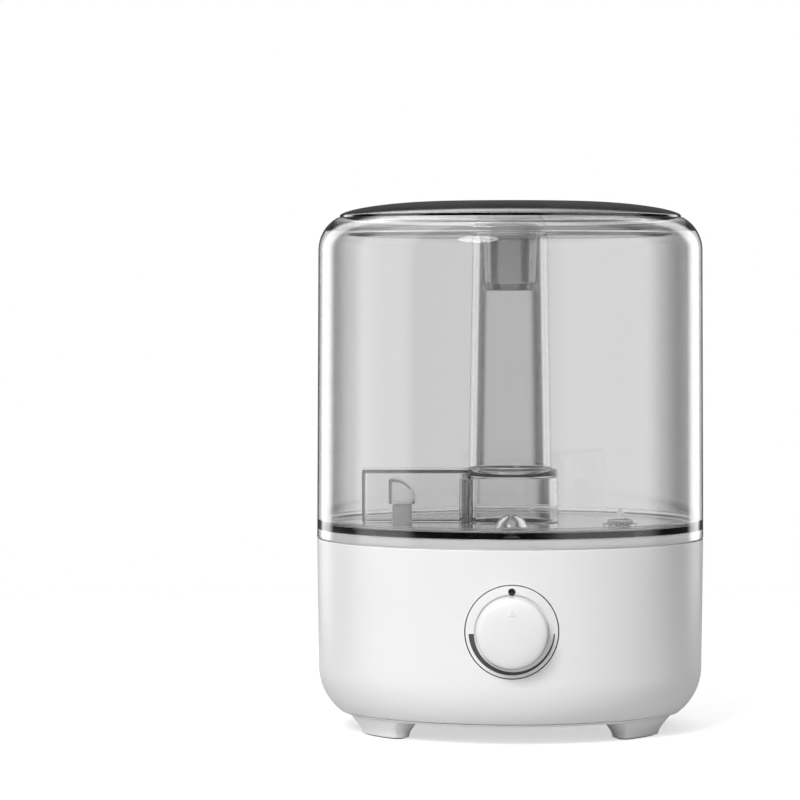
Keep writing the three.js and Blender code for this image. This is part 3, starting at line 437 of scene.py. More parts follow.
# %% [markdown]
# SAN or clear ABS: the tank, chamber and tube. It is a glass-clear moulding with a trace of
# grey. The wall is a real solid, so the shader only has to say how light bends and how
# much of it each millimetre keeps. Looked at along a wall it is therefore dark, and face on
# it is clear. A very slow ripple stands for the melt's flow in the mould.

# %% Clear and smoked plastic
def clear_plastic(name, kept, wall, rough=0.0):
    """A see-through moulding; kept is the part of the light that one wall lets through."""
    material, tree, principled = shader(
        name, "#ffffff", Roughness=rough, IOR=1.5, Transmission_Weight=1.0
    )
    relief(tree, principled, noise(tree, 22, 1), 0.02, 0.5)
    grey = add(tree, "ShaderNodeVolumeAbsorption", {"Density": -math.log(kept) / (wall * MM)})
    grey.inputs["Color"].default_value = (0, 0, 0, 1)
    tree.links.new(grey.outputs["Volume"], tree.nodes["Material Output"].inputs["Volume"])
    return material


clear_san = clear_plastic("clear_san", 0.88, 2.3)
clear_inner = clear_plastic("clear_san_inner", 0.86, 2.0)
smoked_san = clear_plastic("smoked_san", 0.7, 1.4)
smoked_lid = clear_plastic("smoked_san_lid", 0.36, 2.2)
clear_rim = clear_plastic("clear_san_rim", 0.9, 2.0)
print(
    "clear plastics", clear_san.name, clear_inner.name, smoked_san.name, smoked_lid.name,
    clear_rim.name,
)

# %% [markdown]
# Rubbers and prints. Silicone is soft, a little milky and never glossy. The mist scale is a
# printed or inlaid dark grey, and the lamp's window is a black polycarbonate lens.

# %% Silicone, rubber, print and lens
silicone, tree, principled = shader(
    "silicone", "#d4d8d8", Roughness=0.45, IOR=1.43, Subsurface_Weight=0.2
)
principled.inputs["Subsurface Scale"].default_value = 0.002
vary(tree, principled, "Roughness", noise(tree, 3), 0.4, 0.55)
relief(tree, principled, noise(tree, 0.5), 0.01)

pad_rubber, tree, principled = shader("pad_silicone", "#8a8d90", Roughness=0.6, IOR=1.43)
vary(tree, principled, "Roughness", noise(tree, 2), 0.5, 0.7)
relief(tree, principled, noise(tree, 0.6), 0.02)

dark_print, tree, principled = shader("scale_print", "#4a4b4c", Roughness=0.5)
tint(tree, principled, noise(tree, 4), "#464748", "#4e4f50")
relief(tree, principled, noise(tree, 0.3), 0.003)

lens, tree, principled = shader("polycarbonate_lens", "#1d1e20", Roughness=0.12, IOR=1.58)
vary(tree, principled, "Roughness", noise(tree, 1), 0.1, 0.16)
print("soft finishes", silicone.name, pad_rubber.name, dark_print.name, lens.name)

# %% [markdown]
# The parts behind the casing are seen only where a cover is off, but each still gets what
# it is made of: rolled steel, nickel plate, die-cast aluminium, glass-fibre board under a
# green lacquer, and so on. A metal keeps the shader's own index.

# %% Metals and hidden materials
def metal(name, colour, rough, grain):
    """Bare metal with a fine brushed or rolled grain."""
    material, tree, principled = shader(name, colour, Metallic=1.0, Roughness=rough)
    vary(tree, principled, "Roughness", noise(tree, grain, 3), rough * 0.8, rough * 1.25)
    relief(tree, principled, noise(tree, grain / 2), 0.003)
    return material


def moulded(name, dark, light, rough, grain, height=0.01, metallic=0.0):
    """A plain material with a little colour and surface grain."""
    material, tree, principled = shader(name, light, Roughness=rough, Metallic=metallic)
    tint(tree, principled, noise(tree, grain * 6), dark, light)
    vary(tree, principled, "Roughness", noise(tree, grain * 3), rough * 0.9, min(1, rough * 1.1))
    relief(tree, principled, noise(tree, grain), height)
    return material


finishes = {
    "white_abs": white_abs,
    "clear_plastic": clear_san,
    "smoked_plastic": smoked_san,
    "dark_print": dark_print,
    "foot_rubber": pad_rubber,
    "silicone": silicone,
    "steel": metal("rolled_steel", "#b4b7ba", 0.3, 1.0),
    "nickel_plate": metal("nickel_plate", "#c9c7c0", 0.22, 1.0),
    "aluminium": metal("cast_aluminium", "#c2c5c7", 0.4, 1.5),
    "circuit_board": moulded("board_lacquer", "#175a39", "#1f6b46", 0.35, 0.8, 0.02),
    "black_plastic": moulded("black_abs", "#161719", "#1d1e20", 0.42, 0.4),
    "red_lead": moulded("pvc_insulation", "#9c2f26", "#ad3a2f", 0.45, 0.5),
    "ferrite": moulded("ferrite", "#2c2a28", "#3b3936", 0.55, 0.5, 0.02, 0.2),
    "filter_foam": moulded("polyurethane_foam", "#33363a", "#54585c", 0.95, 0.8, 0.5),
    "float_foam": moulded("polyethylene_foam", "#e9e6df", "#f6f3ec", 0.8, 0.6, 0.05),
    "ceramic": moulded("glazed_ceramic", "#dfd5bb", "#ebe1c9", 0.25, 0.8),
}
print("finishes for", len(finishes), "slots")

# %% Finishing a piece
SLOT_OF = {part["node"]: part["material_slot"] for part in frame["record"]["subparts"]}


def made(obj, body, *nodes, material=None):
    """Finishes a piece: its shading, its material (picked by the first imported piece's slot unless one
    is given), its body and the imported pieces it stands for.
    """
    smooth(obj)
    obj.data.materials.clear()
    obj.data.materials.append(material or finishes[SLOT_OF[nodes[0]]])
    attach(obj, body)
    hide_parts(*nodes)
    return obj


for node, obj in frame["nodes"].items():
    obj.data.materials.clear()
    obj.data.materials.append(finishes[SLOT_OF[node]])
print("packed pieces given a finish:", len(frame["nodes"]))

# %% [markdown]
# The base casing is one moulding. Its wall leans out by under a millimetre so that it
# leaves the mould, then turns in with a 28.5 mm radius that the flat bottom cover cuts off.
# Two round holes go through it: the dial panel's in front and the inlet's at the back.

# %% Casing measures
shell_low, shell_high = span("base_shell")
cover_low, cover_high = span("bottom_cover")
ROUND_R, ROUND_Z, ROUNDING = 69.7, 32.0, 28.5
BODY = shell_high.x
FOOT_R = ROUND_R + ROUNDING
SHELL_WALL = 2.5
GAP = 0.3
panel_low, panel_high = span("dial_panel")
PANEL_Z = (panel_low.z + panel_high.z) / 2
PANEL_R = (panel_high.z - panel_low.z) / 2
inlet_low, inlet_high = span("power_inlet")
INLET_Z = (inlet_low.z + inlet_high.z) / 2


def wall_radius(z):
    """The casing's outside radius at a height."""
    drop = max(0.0, ROUND_Z - z)
    lean = max(0.0, z - ROUND_Z) / (shell_high.z - ROUND_Z)
    return ROUND_R + math.sqrt(ROUNDING ** 2 - drop ** 2) + (BODY - FOOT_R) * lean


print("panel at", round(PANEL_Z, 1), "radius", round(PANEL_R, 1), "inlet at", round(INLET_Z, 1))

# %% Base shell
start = -math.degrees(math.asin((ROUND_Z - shell_low.z) / ROUNDING))
inner_radius = ROUNDING - SHELL_WALL
inner_start = -math.degrees(math.asin((ROUND_Z - shell_low.z) / inner_radius))
shell = turned("base_shell", [
    *arc(ROUND_R, ROUND_Z, ROUNDING, start, 0, 24),
    (BODY, shell_high.z, 0.5),
    (BODY - SHELL_WALL, shell_high.z, 0.4),
    (BODY - SHELL_WALL, 83.8),
    (BODY - SHELL_WALL - 4, 83.8),
    (BODY - SHELL_WALL - 4, 81.8),
    (FOOT_R - SHELL_WALL, 77.5),
    *arc(ROUND_R, ROUND_Z, inner_radius, 0, inner_start, 16),
])
carve(
    shell,
    rod(PANEL_R + GAP, 60, 120, at(0, 0, PANEL_Z) @ FRONT, 128),
    rod(5.8, -120, -60, at(0, 0, INLET_Z) @ FRONT),
)
made(shell, "base", "base_shell")
print("base shell", len(shell.data.polygons), "faces")

# %% [markdown]
# The bottom cover closes the casing from below. Its edge is the fine line just above the
# feet. A pocket in it holds the filter behind a grille, and four screws hold it.

# %% Bottom cover, filter grille and screws
cover_r = cover_high.x
screw_low, screw_high = span("cover_screw_1")
SCREW_REACH = (screw_low.x + screw_high.x) / 2
grille_low, grille_high = span("filter_cover")
FAN_X = (grille_low.x + grille_high.x) / 2
GRILLE_R = (grille_high.x - grille_low.x) / 2
cover = turned("bottom_cover", [
    (0, cover_low.z), (wall_radius(cover_low.z), cover_low.z, 0.5), (cover_r, cover_low.z + 1.2, 0.3),
    (82, cover_low.z + 1.2), (82, cover_low.z + 2.5), (0, cover_low.z + 2.5),
])
holes = [rod(GRILLE_R + GAP, 0, 20, at(FAN_X, 0))]
for angle in range(0, 360, 90):
    turn = Matrix.Rotation(math.radians(angle), 4, "Z")
    holes.append(rod(3.2, 0, cover_low.z + 1.2, turn @ at(SCREW_REACH, 0)))
    holes.append(rod(1.7, 0, 20, turn @ at(SCREW_REACH, 0)))
carve(cover, *holes)
made(cover, "base", "bottom_cover")

grille = turned("filter_grille", [
    (0, grille_low.z), (GRILLE_R, grille_low.z, 0.5), (GRILLE_R, grille_high.z, 0.3), (0, grille_high.z),
], at(FAN_X, 0))
for y in (-12, -6, 0, 6, 12):
    half = math.sqrt((GRILLE_R - 4) ** 2 - y ** 2)
    slot_outline = [(-half, -1.5, 1.49), (half, -1.5, 1.49), (half, 1.5, 1.49), (-half, 1.5, 1.49)]
    carve(grille, pushed("tool", slot_outline, grille_low.z - 1, grille_high.z + 1, place=at(FAN_X, y)))
made(grille, "base", "filter_cover")

for number in range(4):
    turn = Matrix.Rotation(math.radians(90 * number), 4, "Z")
    place = turn @ at(SCREW_REACH, 0)
    low, high = span(f"cover_screw_{number + 1}")
    screw = turned(f"cover_screw_{number + 1}", [
        (0, low.z), (1.6, low.z), (2.9, low.z + 0.8, 0.3), (2.9, low.z + 1.5), (1.4, low.z + 1.5),
        (1.4, high.z - 1), (0.6, high.z), (0, high.z),
    ], place, 48)
    for quarter in (0, 90):
        cross = pushed(
            "tool", [(-1.5, -0.3), (1.5, -0.3), (1.5, 0.3), (-1.5, 0.3)], low.z - 1, low.z + 0.7,
            place=place @ Matrix.Rotation(math.radians(quarter), 4, "Z"),
        )
        carve(screw, cross)
    made(screw, "base", f"cover_screw_{number + 1}")
print("cover radius", round(cover_r, 1), "screws at", round(SCREW_REACH, 1), "fan at", round(FAN_X, 1))

# %% [markdown]
# Four feet carry the base. Each is a short arc of a ring, small at the sole and flaring
# into the cover, so it seems to grow out of the rounding. A soft pad fills each sole.

# %% Feet and pads
def sector(inner, outer, middle, half, corner=3.5, steps=20):
    """An arc of a ring seen from above, with its four corners rounded."""
    trim = math.degrees(corner / outer)
    points = []
    for radius, sign in ((outer, 1), (inner, -1)):
        for k in range(steps + 1):
            t = sign * (2 * k / steps - 1)
            over = max(0.0, (abs(t) * half - (half - trim)) / trim)
            pull = corner * (1 - math.sqrt(max(0.0, 1 - min(1.0, over) ** 2))) * 0.98
            angle = math.radians(middle + t * half)
            reach = radius - sign * pull
            points.append((reach * math.cos(angle), reach * math.sin(angle)))
    return points


FOOT_ANGLE = 35.5
SOLE_OUTER, SOLE_INNER = 83.1, 72.6
SOLE_HALF = 11.5
FOOT_TOP = cover_low.z - 0.1
FOOT_LEVELS = [(0.6, -0.9), (0.75, -0.45), (1.0, -0.15), (1.4, 0.0)]
FOOT_LEVELS += [(1.4 + (FOOT_TOP - 1.4) * k / 12, 5 * (1 - math.cos(math.radians(90) * k / 12)) ** 0.8)
                for k in range(1, 13)]


def foot_ring(middle, flare, z):
    """One level of a foot."""
    half = SOLE_HALF + math.degrees(flare / SOLE_OUTER)
    outline = sector(SOLE_INNER - flare * 0.5, SOLE_OUTER + flare * 0.8, middle, half)
    return [(x, y, z) for x, y in outline]


feet = {"front_right": -FOOT_ANGLE, "front_left": FOOT_ANGLE - 180,
        "rear_right": FOOT_ANGLE, "rear_left": 180 - FOOT_ANGLE}
for place, middle in feet.items():
    foot = loft(f"foot_{place}", [foot_ring(middle, flare, z) for z, flare in FOOT_LEVELS])
    made(foot, "base", f"foot_{place}")
    pad_levels = [(0.0, -2.7), (0.15, -2.3), (0.5, -2.1), (0.9, -2.1)]
    pad = loft(f"pad_{place}", [foot_ring(middle, flare, z) for z, flare in pad_levels])
    made(pad, "base", f"foot_pad_{place}")
print("feet up to", round(FOOT_TOP, 2))

# %% [markdown]
# The dial panel is a round plate that follows the casing's curve, set in with a hair-thin
# groove round it and a shallow one round the knob, which stays in shadow. It is drawn as if
# turned about the knob's axis, and then every point is pushed back until it lies at its own
# depth under the casing's surface.

# %% Panel, scale and lamp
def on_wall(name, rings):
    """Rings of (across, up, depth) points round the knob's axis, laid on the casing's front."""
    rows = []
    for ring in rings:
        row = []
        for across, up, depth in ring:
            z = PANEL_Z + up
            radius = wall_radius(z)
            row.append((across, depth - math.sqrt(radius ** 2 - across ** 2), z))
        rows.append(row)
    return loft(name, rows)


def circles(profile, across=0.0, up=0.0, steps=128):
    """Rings of a round plate from its (radius, depth) profile."""
    angles = [2 * math.pi * k / steps for k in range(steps)]
    return [
        [(across + r * math.cos(a), up + r * math.sin(a), depth) for a in angles]
        for r, depth in profile
    ]


SHADOW_GAP = [(17.2, 0), (17.25, 1.2), (18.4, 1.2), (18.45, 0)]
plate = [(2.0, 0), (6, 0), (10, 0), (14, 0), *SHADOW_GAP, (PANEL_R - 0.55, 0), (PANEL_R - 0.3, 0.1),
         (PANEL_R - 0.2, 0.35), (PANEL_R - 0.2, 2.5), (18, 2.5), (10, 2.5), (2.0, 2.5)]
panel = on_wall("dial_panel", circles(plate))
lamp_low, lamp_high = span("indicator_window")
LAMP_UP = (lamp_low.z + lamp_high.z) / 2 - PANEL_Z
carve(
    panel,
    rod(1.85, 60, 120, at(0, 0, PANEL_Z + LAMP_UP) @ FRONT, 48),
    rod(4.1, 60, 120, at(0, 0, PANEL_Z) @ FRONT, 48),
)
made(panel, "base", "dial_panel")

lens_profile = [
    (0.3, -0.06), (0.9, -0.02), (1.3, 0.04), (1.6, 0.2), (1.65, 0.5), (1.65, 2.0), (0.3, 2.0),
]
lamp = on_wall("indicator_window", circles(lens_profile, 0, LAMP_UP, 48))
made(lamp, "base", "indicator_window", material=lens)

SCALE_R = PANEL_R - 1.8
SCALE_STEPS = 72
SCALE_SECTION = (
    (0.0, 0.4), (0.0, -0.05), (0.25, -0.06), (0.5, -0.06), (0.75, -0.06), (1.0, -0.05), (1.0, 0.4),
)
scale_rows = []
for inward, depth in SCALE_SECTION:
    row = []
    for k in range(SCALE_STEPS + 1):
        angle = math.radians(183 + 174 * k / SCALE_STEPS)
        radius = SCALE_R - (2.6 - 2.0 * k / SCALE_STEPS) * inward
        row.append((radius * math.cos(angle), radius * math.sin(angle), depth))
    scale_rows.append(row)
mist_scale = on_wall("mist_scale", [[row[k] for row in scale_rows] for k in range(SCALE_STEPS + 1)])
made(mist_scale, "base", "mist_scale")
print("lamp", round(LAMP_UP, 1), "mm above the knob's axis; scale radius", round(SCALE_R, 1))

# %% [markdown]
# The knob is a shallow dome with a straight side, hollow behind, pushed onto a metal shaft.
# A small raised triangle shows where it points. The dome is a superellipse: flatter in the
# middle than a ball and rounder at the edge, as a moulded cap is.

# %% Knob
knob_low, knob_high = span("knob")
KNOB_R = (knob_high.x - knob_low.x) / 2
KNOB_BACK = -knob_high.y
KNOB_DEPTH = knob_high.y - knob_low.y
CROWN = 4.4
CROWN_POWER = 2.1


def crown(radius):
    """Height of the knob's face at a radius."""
    t = min(1.0, radius / (KNOB_R - 0.4))
    return KNOB_DEPTH - CROWN + CROWN * (1 - t ** CROWN_POWER) ** (1 / CROWN_POWER)


face_radii = [(KNOB_R - 0.4) * math.sin(math.radians(90 * k / 28)) for k in range(28, -1, -1)]
knob = turned("knob", [
    (0, KNOB_DEPTH - 3.4), (3.3, KNOB_DEPTH - 3.4), (3.3, 3.8), (5.6, 3.8),
    (5.6, 7.0), (KNOB_R - 3, 7.0),
    (KNOB_R - 3, 0), (KNOB_R, 0, 0.4), *[(radius, crown(radius)) for radius in face_radii],
], at(0, -KNOB_BACK, PANEL_Z) @ FRONT)
POINTER_SIZE = 4.1
POINTER_UP = 10.7
tip = POINTER_SIZE / 2
triangle = [(-tip, POINTER_UP - tip, 0.4), (tip, POINTER_UP - tip, 0.4), (0, POINTER_UP + tip, 0.4)]
pointer_top = crown(POINTER_UP) + 0.75
pointer = pushed(
    "tool", triangle, pointer_top - 3, pointer_top, 0.25, at(0, -KNOB_BACK, PANEL_Z) @ FRONT
)
carve(knob, pointer, operation="UNION")
made(knob, "knob", "knob")
print("knob radius", round(KNOB_R, 1), "depth", round(KNOB_DEPTH, 1))

# %% [markdown]
# At the back, low on the casing, is the round socket for the mains adapter's plug: a black
# sleeve with a metal pin in its middle.

# %% Power inlet
INLET_FACE = inlet_high.y
BACK = Matrix.Rotation(math.radians(-90), 4, "X")
barrel = turned("power_inlet", [
    (1.3, INLET_FACE - 9.5), (2.9, INLET_FACE - 9.5), (2.9, INLET_FACE, 0.5), (5.5, INLET_FACE, 0.4),
    (5.5, inlet_low.y), (1.3, inlet_low.y),
], at(0, 0, INLET_Z) @ BACK, 64)
made(barrel, "base", "power_inlet")
pin_low, pin_high = span("inlet_pin")
pin = turned("inlet_pin", [
    (0, pin_low.y), (1, pin_low.y), (1, pin_high.y, 0.6), (0, pin_high.y),
], at(0, 0, INLET_Z) @ BACK, 32)
made(pin, "base", "inlet_pin")
print("inlet face", round(INLET_FACE, 1))

# %% [markdown]
# Inside the casing's mouth sits the deck: the white basin that holds the last of the water,
# with the deeper well of the transducer in the middle, a rim the tank drops over, a square
# chimney for the air, and two posts. It shows through the tank's clear floor.

# %% Basin deck
deck_high = span("base_deck")[1]
floor_low, floor_high = span("tank_floor")
TANK_FLOOR = floor_high.z - 8
SPIGOT = floor_low.z - GAP
BASIN = SPIGOT - 16
WELL = BASIN - 14
DECK_R = deck_high.x
hood_low, hood_high = span("outlet_hood")
float_low, float_high = span("float_ring")
FLOAT_Y = (float_low.y + float_high.y) / 2
stem_low, stem_high = span("valve_plunger")
VALVE = ((stem_low.x + stem_high.x) / 2, (stem_low.y + stem_high.y) / 2)
deck = turned("base_deck", [
    (8.5, WELL - 2.5), (18.5, WELL - 2.5), (18.5, BASIN - 2.5), (DECK_R, BASIN - 2.5),
    (DECK_R, SPIGOT, 0.8),
    (DECK_R - 2.5, SPIGOT, 0.8), (DECK_R - 2.5, BASIN, 3), (16, BASIN, 1.5), (16, WELL, 2),
    (8.5, WELL, 0.6),
])
flue = {"x": (hood_low.x + 1.8, hood_high.x - 1.8), "y": (hood_low.y + 1.8, hood_high.y - 1.8)}
stack = rounded_box("tool", flue["x"], flue["y"], (BASIN - 2, hood_low.z - GAP), 0.5)
float_post = rod(3, BASIN - 1, SPIGOT - 1.2, at(0, FLOAT_Y), 48)
valve_post = rod(3, BASIN - 1, stem_low.z - GAP, at(*VALVE), 48)
carve(deck, stack, float_post, valve_post, operation="UNION")
bore = rounded_box(
    "tool", (flue["x"][0] + 1.5, flue["x"][1] - 1.5), (flue["y"][0] + 1.5, flue["y"][1] - 1.5),
    (BASIN - 8, hood_low.z + 3), 0,
)
carve(deck, bore)
made(deck, "base", "base_deck")
print(
    "tank floor", round(TANK_FLOOR, 1), "basin", round(BASIN, 1), "well", round(WELL, 1),
    "valve", VALVE,
)

# %% [markdown]
# In the well's floor lies the transducer, a nickel-plated ceramic disc in a silicone ring.
# The float rides on its post, with a ring magnet in its top and a clip over it.

# %% Transducer and float
disc_low, disc_high = span("transducer_disc")
disc = turned("transducer_disc", [
    (0, disc_low.z), (disc_high.x, disc_low.z, 0.2), (disc_high.x, disc_high.z, 0.3), (0, disc_high.z),
])
made(disc, "base", "transducer_disc")

float_place = at(0, FLOAT_Y)
float_ring = turned("float_ring", [
    (3.5, float_low.z, 0.3), (6.6, float_low.z, 0.8), (6.6, float_high.z, 0.6), (5.8, float_high.z),
    (5.8, float_high.z - 2.7), (4, float_high.z - 2.7), (4, float_high.z), (3.5, float_high.z),
], float_place, 64)
made(float_ring, "float", "float_ring")
magnet_low, magnet_high = span("float_magnet")
magnet = turned("float_magnet", [
    (4.3, magnet_low.z), (5.5, magnet_low.z), (5.5, magnet_high.z, 0.2), (4.3, magnet_high.z, 0.2),
], float_place, 64)
made(magnet, "float", "float_magnet")
clip_low, clip_high = span("float_retainer")
clip = turned("float_retainer", [
    (3.3, clip_low.z), (5, clip_low.z, 0.2), (5, clip_high.z, 0.3), (3.3, clip_high.z),
], float_place, 48)
made(clip, "base", "float_retainer")
print("float from", round(float_low.z, 1), "to", round(float_high.z, 1))

# %% [markdown]
# The tank is drawn as one clear solid, wall and floor together, because the real floor is
# welded in and light crosses the weld. Its skirt hides the basin's rim, its shoulder turns
# in with a 19 mm radius, and a ledge inside the mouth carries the lid. A small dome over
# the float and a low ring round the valve stand on the floor.

# %% Tank
TANK_WALL = 2.3
TANK_IN = BODY - TANK_WALL
SHOULDER_R, SHOULDER_Z, SHOULDER = 79.3, 245.0, 19.0
tank_low, tank_high = span("tank_wall")
MOUTH = 87.74
SEAT = 256.0
FLOOR_UNDER = floor_low.z
seat_angle = math.degrees(math.asin((SEAT - TANK_WALL - SHOULDER_Z) / (SHOULDER - TANK_WALL)))
rim_angle = math.degrees(math.asin((tank_high.z - SHOULDER_Z) / SHOULDER))
rim = arc(SHOULDER_R, SHOULDER_Z, SHOULDER, 0, rim_angle)
chamber_low, chamber_high = span("mist_chamber")
COLLAR_R = chamber_high.x
tank = turned("tank", [
    (TANK_IN, tank_low.z, 0.3), (BODY, tank_low.z, 0.6), *rim[:-1], (*rim[-1], 0.3),
    (MOUTH, tank_high.z, 0.3),
    (MOUTH, SEAT, 0.3), (MOUTH - 4, SEAT, 0.4), (MOUTH - 4, SEAT - TANK_WALL, 0.4),
    *arc(SHOULDER_R, SHOULDER_Z, SHOULDER - TANK_WALL, seat_angle, 0),
    (TANK_IN, TANK_FLOOR, 1.6), (COLLAR_R - 2.4, TANK_FLOOR, 0.4), (COLLAR_R - 2.4, FLOOR_UNDER, 0.4),
    (TANK_IN, FLOOR_UNDER, 0.3),
], steps=240)
dome = turned("tool", [
    (0, FLOOR_UNDER + 1), (8, FLOOR_UNDER + 1), (8, TANK_FLOOR + 2),
    *arc(0.4, TANK_FLOOR + 0.4, 7.6, 0, 90, 16),
    (0, TANK_FLOOR + 8),
], float_place, 96)
VALVE_RING = 8.65
VALVE_RING_IN = 7.05
ring = turned("tool", [
    (VALVE_RING_IN, FLOOR_UNDER + 1), (VALVE_RING, FLOOR_UNDER + 1),
    (VALVE_RING, TANK_FLOOR + 2, 0.6), (VALVE_RING_IN, TANK_FLOOR + 2, 0.6),
], at(*VALVE), 96)
carve(tank, dome, ring, operation="UNION")
dome_hollow = turned("tool", [
    (0, FLOOR_UNDER - 2), (6.4, FLOOR_UNDER - 2), (6.4, TANK_FLOOR + 1),
    *arc(0, TANK_FLOOR, 6.4, 10, 90, 16),
], float_place, 96)
chamber_in = rounded_box(
    "tool", (chamber_low.x + 1.5, 0), (-12.5, 12.5), (FLOOR_UNDER - 2, TANK_FLOOR + 2), 0
)
carve(tank, dome_hollow, rod(4.6, FLOOR_UNDER - 2, TANK_FLOOR + 1, at(*VALVE)), chamber_in)
made(tank, "tank", "tank_wall", "tank_floor")
band = turned("tank_floor_rim", [
    (TANK_IN - 2, TANK_FLOOR + 0.1), (TANK_IN - 0.15, TANK_FLOOR + 0.1),
    (TANK_IN - 0.15, TANK_FLOOR + 2.3, 0.3), (TANK_IN - 2, TANK_FLOOR + 2.3, 0.6),
], steps=240)
made(band, "tank", "tank_floor", material=clear_rim)
print("tank faces", len(tank.data.polygons), "mouth", MOUTH)

# %% [markdown]
# The mist chamber stands on the floor: a round collar with the tall tube growing out of
# its rounded shoulder, joined to a box that reaches out over the air hood. It is open below.
# Collar and tube are drawn as one clear moulding, because no joint shows between them. The
# collar's wall runs on inside the box, with an opening in it for the air.

# %% Mist chamber and tube
CHAMBER_FLOOR, CHAMBER_TOP = chamber_low.z, chamber_high.z
CHAMBER_WALL = 1.5
tube_high = span("mist_tube")[1]
TUBE_FOOT = tube_high.x
TUBE_TOP = TUBE_FOOT - 2
chamber = turned("mist_chamber", [
    (COLLAR_R - 2.4, CHAMBER_FLOOR, 0.3), (COLLAR_R, CHAMBER_FLOOR, 0.4),
    (COLLAR_R - 0.8, CHAMBER_TOP, 2.4),
    (TUBE_FOOT, CHAMBER_TOP, 1.5), (TUBE_TOP, tube_high.z, 0.6), (TUBE_TOP - 2, tube_high.z, 0.6),
    (TUBE_FOOT - 2, CHAMBER_TOP - 1.8, 3.0), (COLLAR_R - 2.8, CHAMBER_TOP - 3.6, 2.0),
])
AIR_HALF = 10.5
AIR_TOP = 128.2
box_shape = rounded_box("tool", (chamber_low.x, -3), (-14, 14), (CHAMBER_FLOOR, CHAMBER_TOP - 0.02), 0.7)
carve(box_shape, rod(COLLAR_R - 1.2, CHAMBER_FLOOR - 5, CHAMBER_TOP + 5, steps=TURN_STEPS))
inside_box = rounded_box(
    "tool", (chamber_low.x + CHAMBER_WALL, -COLLAR_R + 6), (CHAMBER_WALL - 14, 14 - CHAMBER_WALL),
    (CHAMBER_FLOOR - 5, CHAMBER_TOP - CHAMBER_WALL), 0.5,
)
carve(inside_box, rod(COLLAR_R, CHAMBER_FLOOR - 9, CHAMBER_TOP + 5, steps=TURN_STEPS))
passage = rounded_box(
    "tool", (-COLLAR_R - 1, -COLLAR_R + 8), (-AIR_HALF, AIR_HALF), (CHAMBER_FLOOR - 5, AIR_TOP), 0.5
)
carve(chamber, box_shape, operation="UNION")
carve(chamber, inside_box, passage)
made(chamber, "tank", "mist_chamber", "mist_tube", material=clear_inner)

seal_low, seal_high = span("chamber_seal")
chamber_seal = turned("chamber_seal", [
    (COLLAR_R - 2.4, seal_low.z, 0.4), (COLLAR_R, seal_low.z, 0.4), (COLLAR_R, seal_high.z, 0.3),
    (COLLAR_R - 2.4, seal_high.z, 0.3),
])
made(chamber_seal, "tank", "chamber_seal")
print("chamber top", round(CHAMBER_TOP, 1), "tube radius", round(TUBE_FOOT, 2), "to", round(TUBE_TOP, 2))

# %% [markdown]
# The air hood sits on the chimney inside the box. Its roof turns down in a quarter circle
# towards the collar, over the window where the air leaves.

# %% Outlet hood
HOOD_HALF = hood_high.y


def hood_outline(inset, bottom):
    """The hood's side view: a flat back, a flat roof and a quarter-round front."""
    left, right, top = hood_low.x + inset, hood_high.x - inset, hood_high.z - inset
    reach = right - left - 2
    turn = arc(right - reach, top - reach, reach, 0, 90, 24)
    return [(left, bottom), (right, bottom), *turn, (left, top, 0.8)]


SIDE = FRONT
hood = pushed("outlet_hood", hood_outline(0, hood_low.z), -HOOD_HALF, HOOD_HALF, 0.5, SIDE)
carve(
    hood,
    pushed("tool", hood_outline(1.5, hood_low.z - 3), -HOOD_HALF + 1.5, HOOD_HALF - 1.5, 0, SIDE),
    rounded_box(
        "tool", (hood_high.x - 3, hood_high.x + 3), (-8, 8), (hood_low.z + 1, hood_low.z + 8), 0.5
    ),
)
made(hood, "base", "outlet_hood", material=clear_inner)
print("hood from", round(hood_low.x, 1), "to", round(hood_high.x, 1))

# %% [markdown]
# The valve lets water down into the basin. When the tank stands on the base, a post lifts
# the plunger with its pointed head; off the base, a spring pulls the rubber disc shut.

# %% Valve
valve_place = at(*VALVE)
lid_of_seal = span("valve_seal")
head = lid_of_seal[1].z + GAP
plunger = turned("valve_plunger", [
    (0, stem_low.z), (3.6, stem_low.z, 0.3), (3.6, stem_low.z + 1.2, 0.3), (2, stem_low.z + 1.2, 0.2),
    (2, head, 0.1), (4.4, head, 0.2), (4.4, head + 0.7, 0.3), (3.1, head + 0.9, 0.4),
    (0.7, stem_high.z - 0.3, 0.3), (0, stem_high.z),
], valve_place, 64)
made(plunger, "valve", "valve_plunger")
valve_seal = turned("valve_seal", [
    (2.3, lid_of_seal[0].z, 0.2), (6.3, lid_of_seal[0].z, 0.5), (6.3, lid_of_seal[1].z, 0.5),
    (2.3, lid_of_seal[1].z, 0.2),
], valve_place, 64)
made(valve_seal, "valve", "valve_seal")
guide_low, guide_high = span("valve_guide")
guide = turned("valve_guide", [
    (2.5, guide_low.z, 0.3), (VALVE_RING, guide_low.z, 0.5),
    (VALVE_RING, guide_high.z, 0.3), (2.5, guide_high.z, 0.3),
], valve_place, 96)
for quarter in range(4):
    turn = Matrix.Rotation(math.radians(45 + 90 * quarter), 4, "Z")
    carve(guide, rod(1.6, guide_low.z - 1, guide_high.z + 1, valve_place @ turn @ at(5.2, 0), 32))
made(guide, "tank", "valve_guide")
print("valve head from", round(head, 1), "to", round(stem_high.z, 1))

# %% [markdown]
# The lid drops into the tank's mouth. It is smoked and see-through, flat round the nozzle,
# then falls away ever faster to its straight skirt.

# %% Lid
lid_low, lid_high = span("lid")
LID_R = lid_high.x
LID_TOP = lid_high.z
LID_WALL = 2.2
FLAT_R = 36.0
DROP = 7.4
FULLNESS = 1.7


def lid_height(radius, edge):
    """Height of the dome at a radius, for a dome that ends at that edge."""
    t = min(1.0, max(0.0, (radius - FLAT_R) / (edge - FLAT_R)))
    return LID_TOP - DROP * (1 - (1 - t ** FULLNESS) ** (1 / FULLNESS))


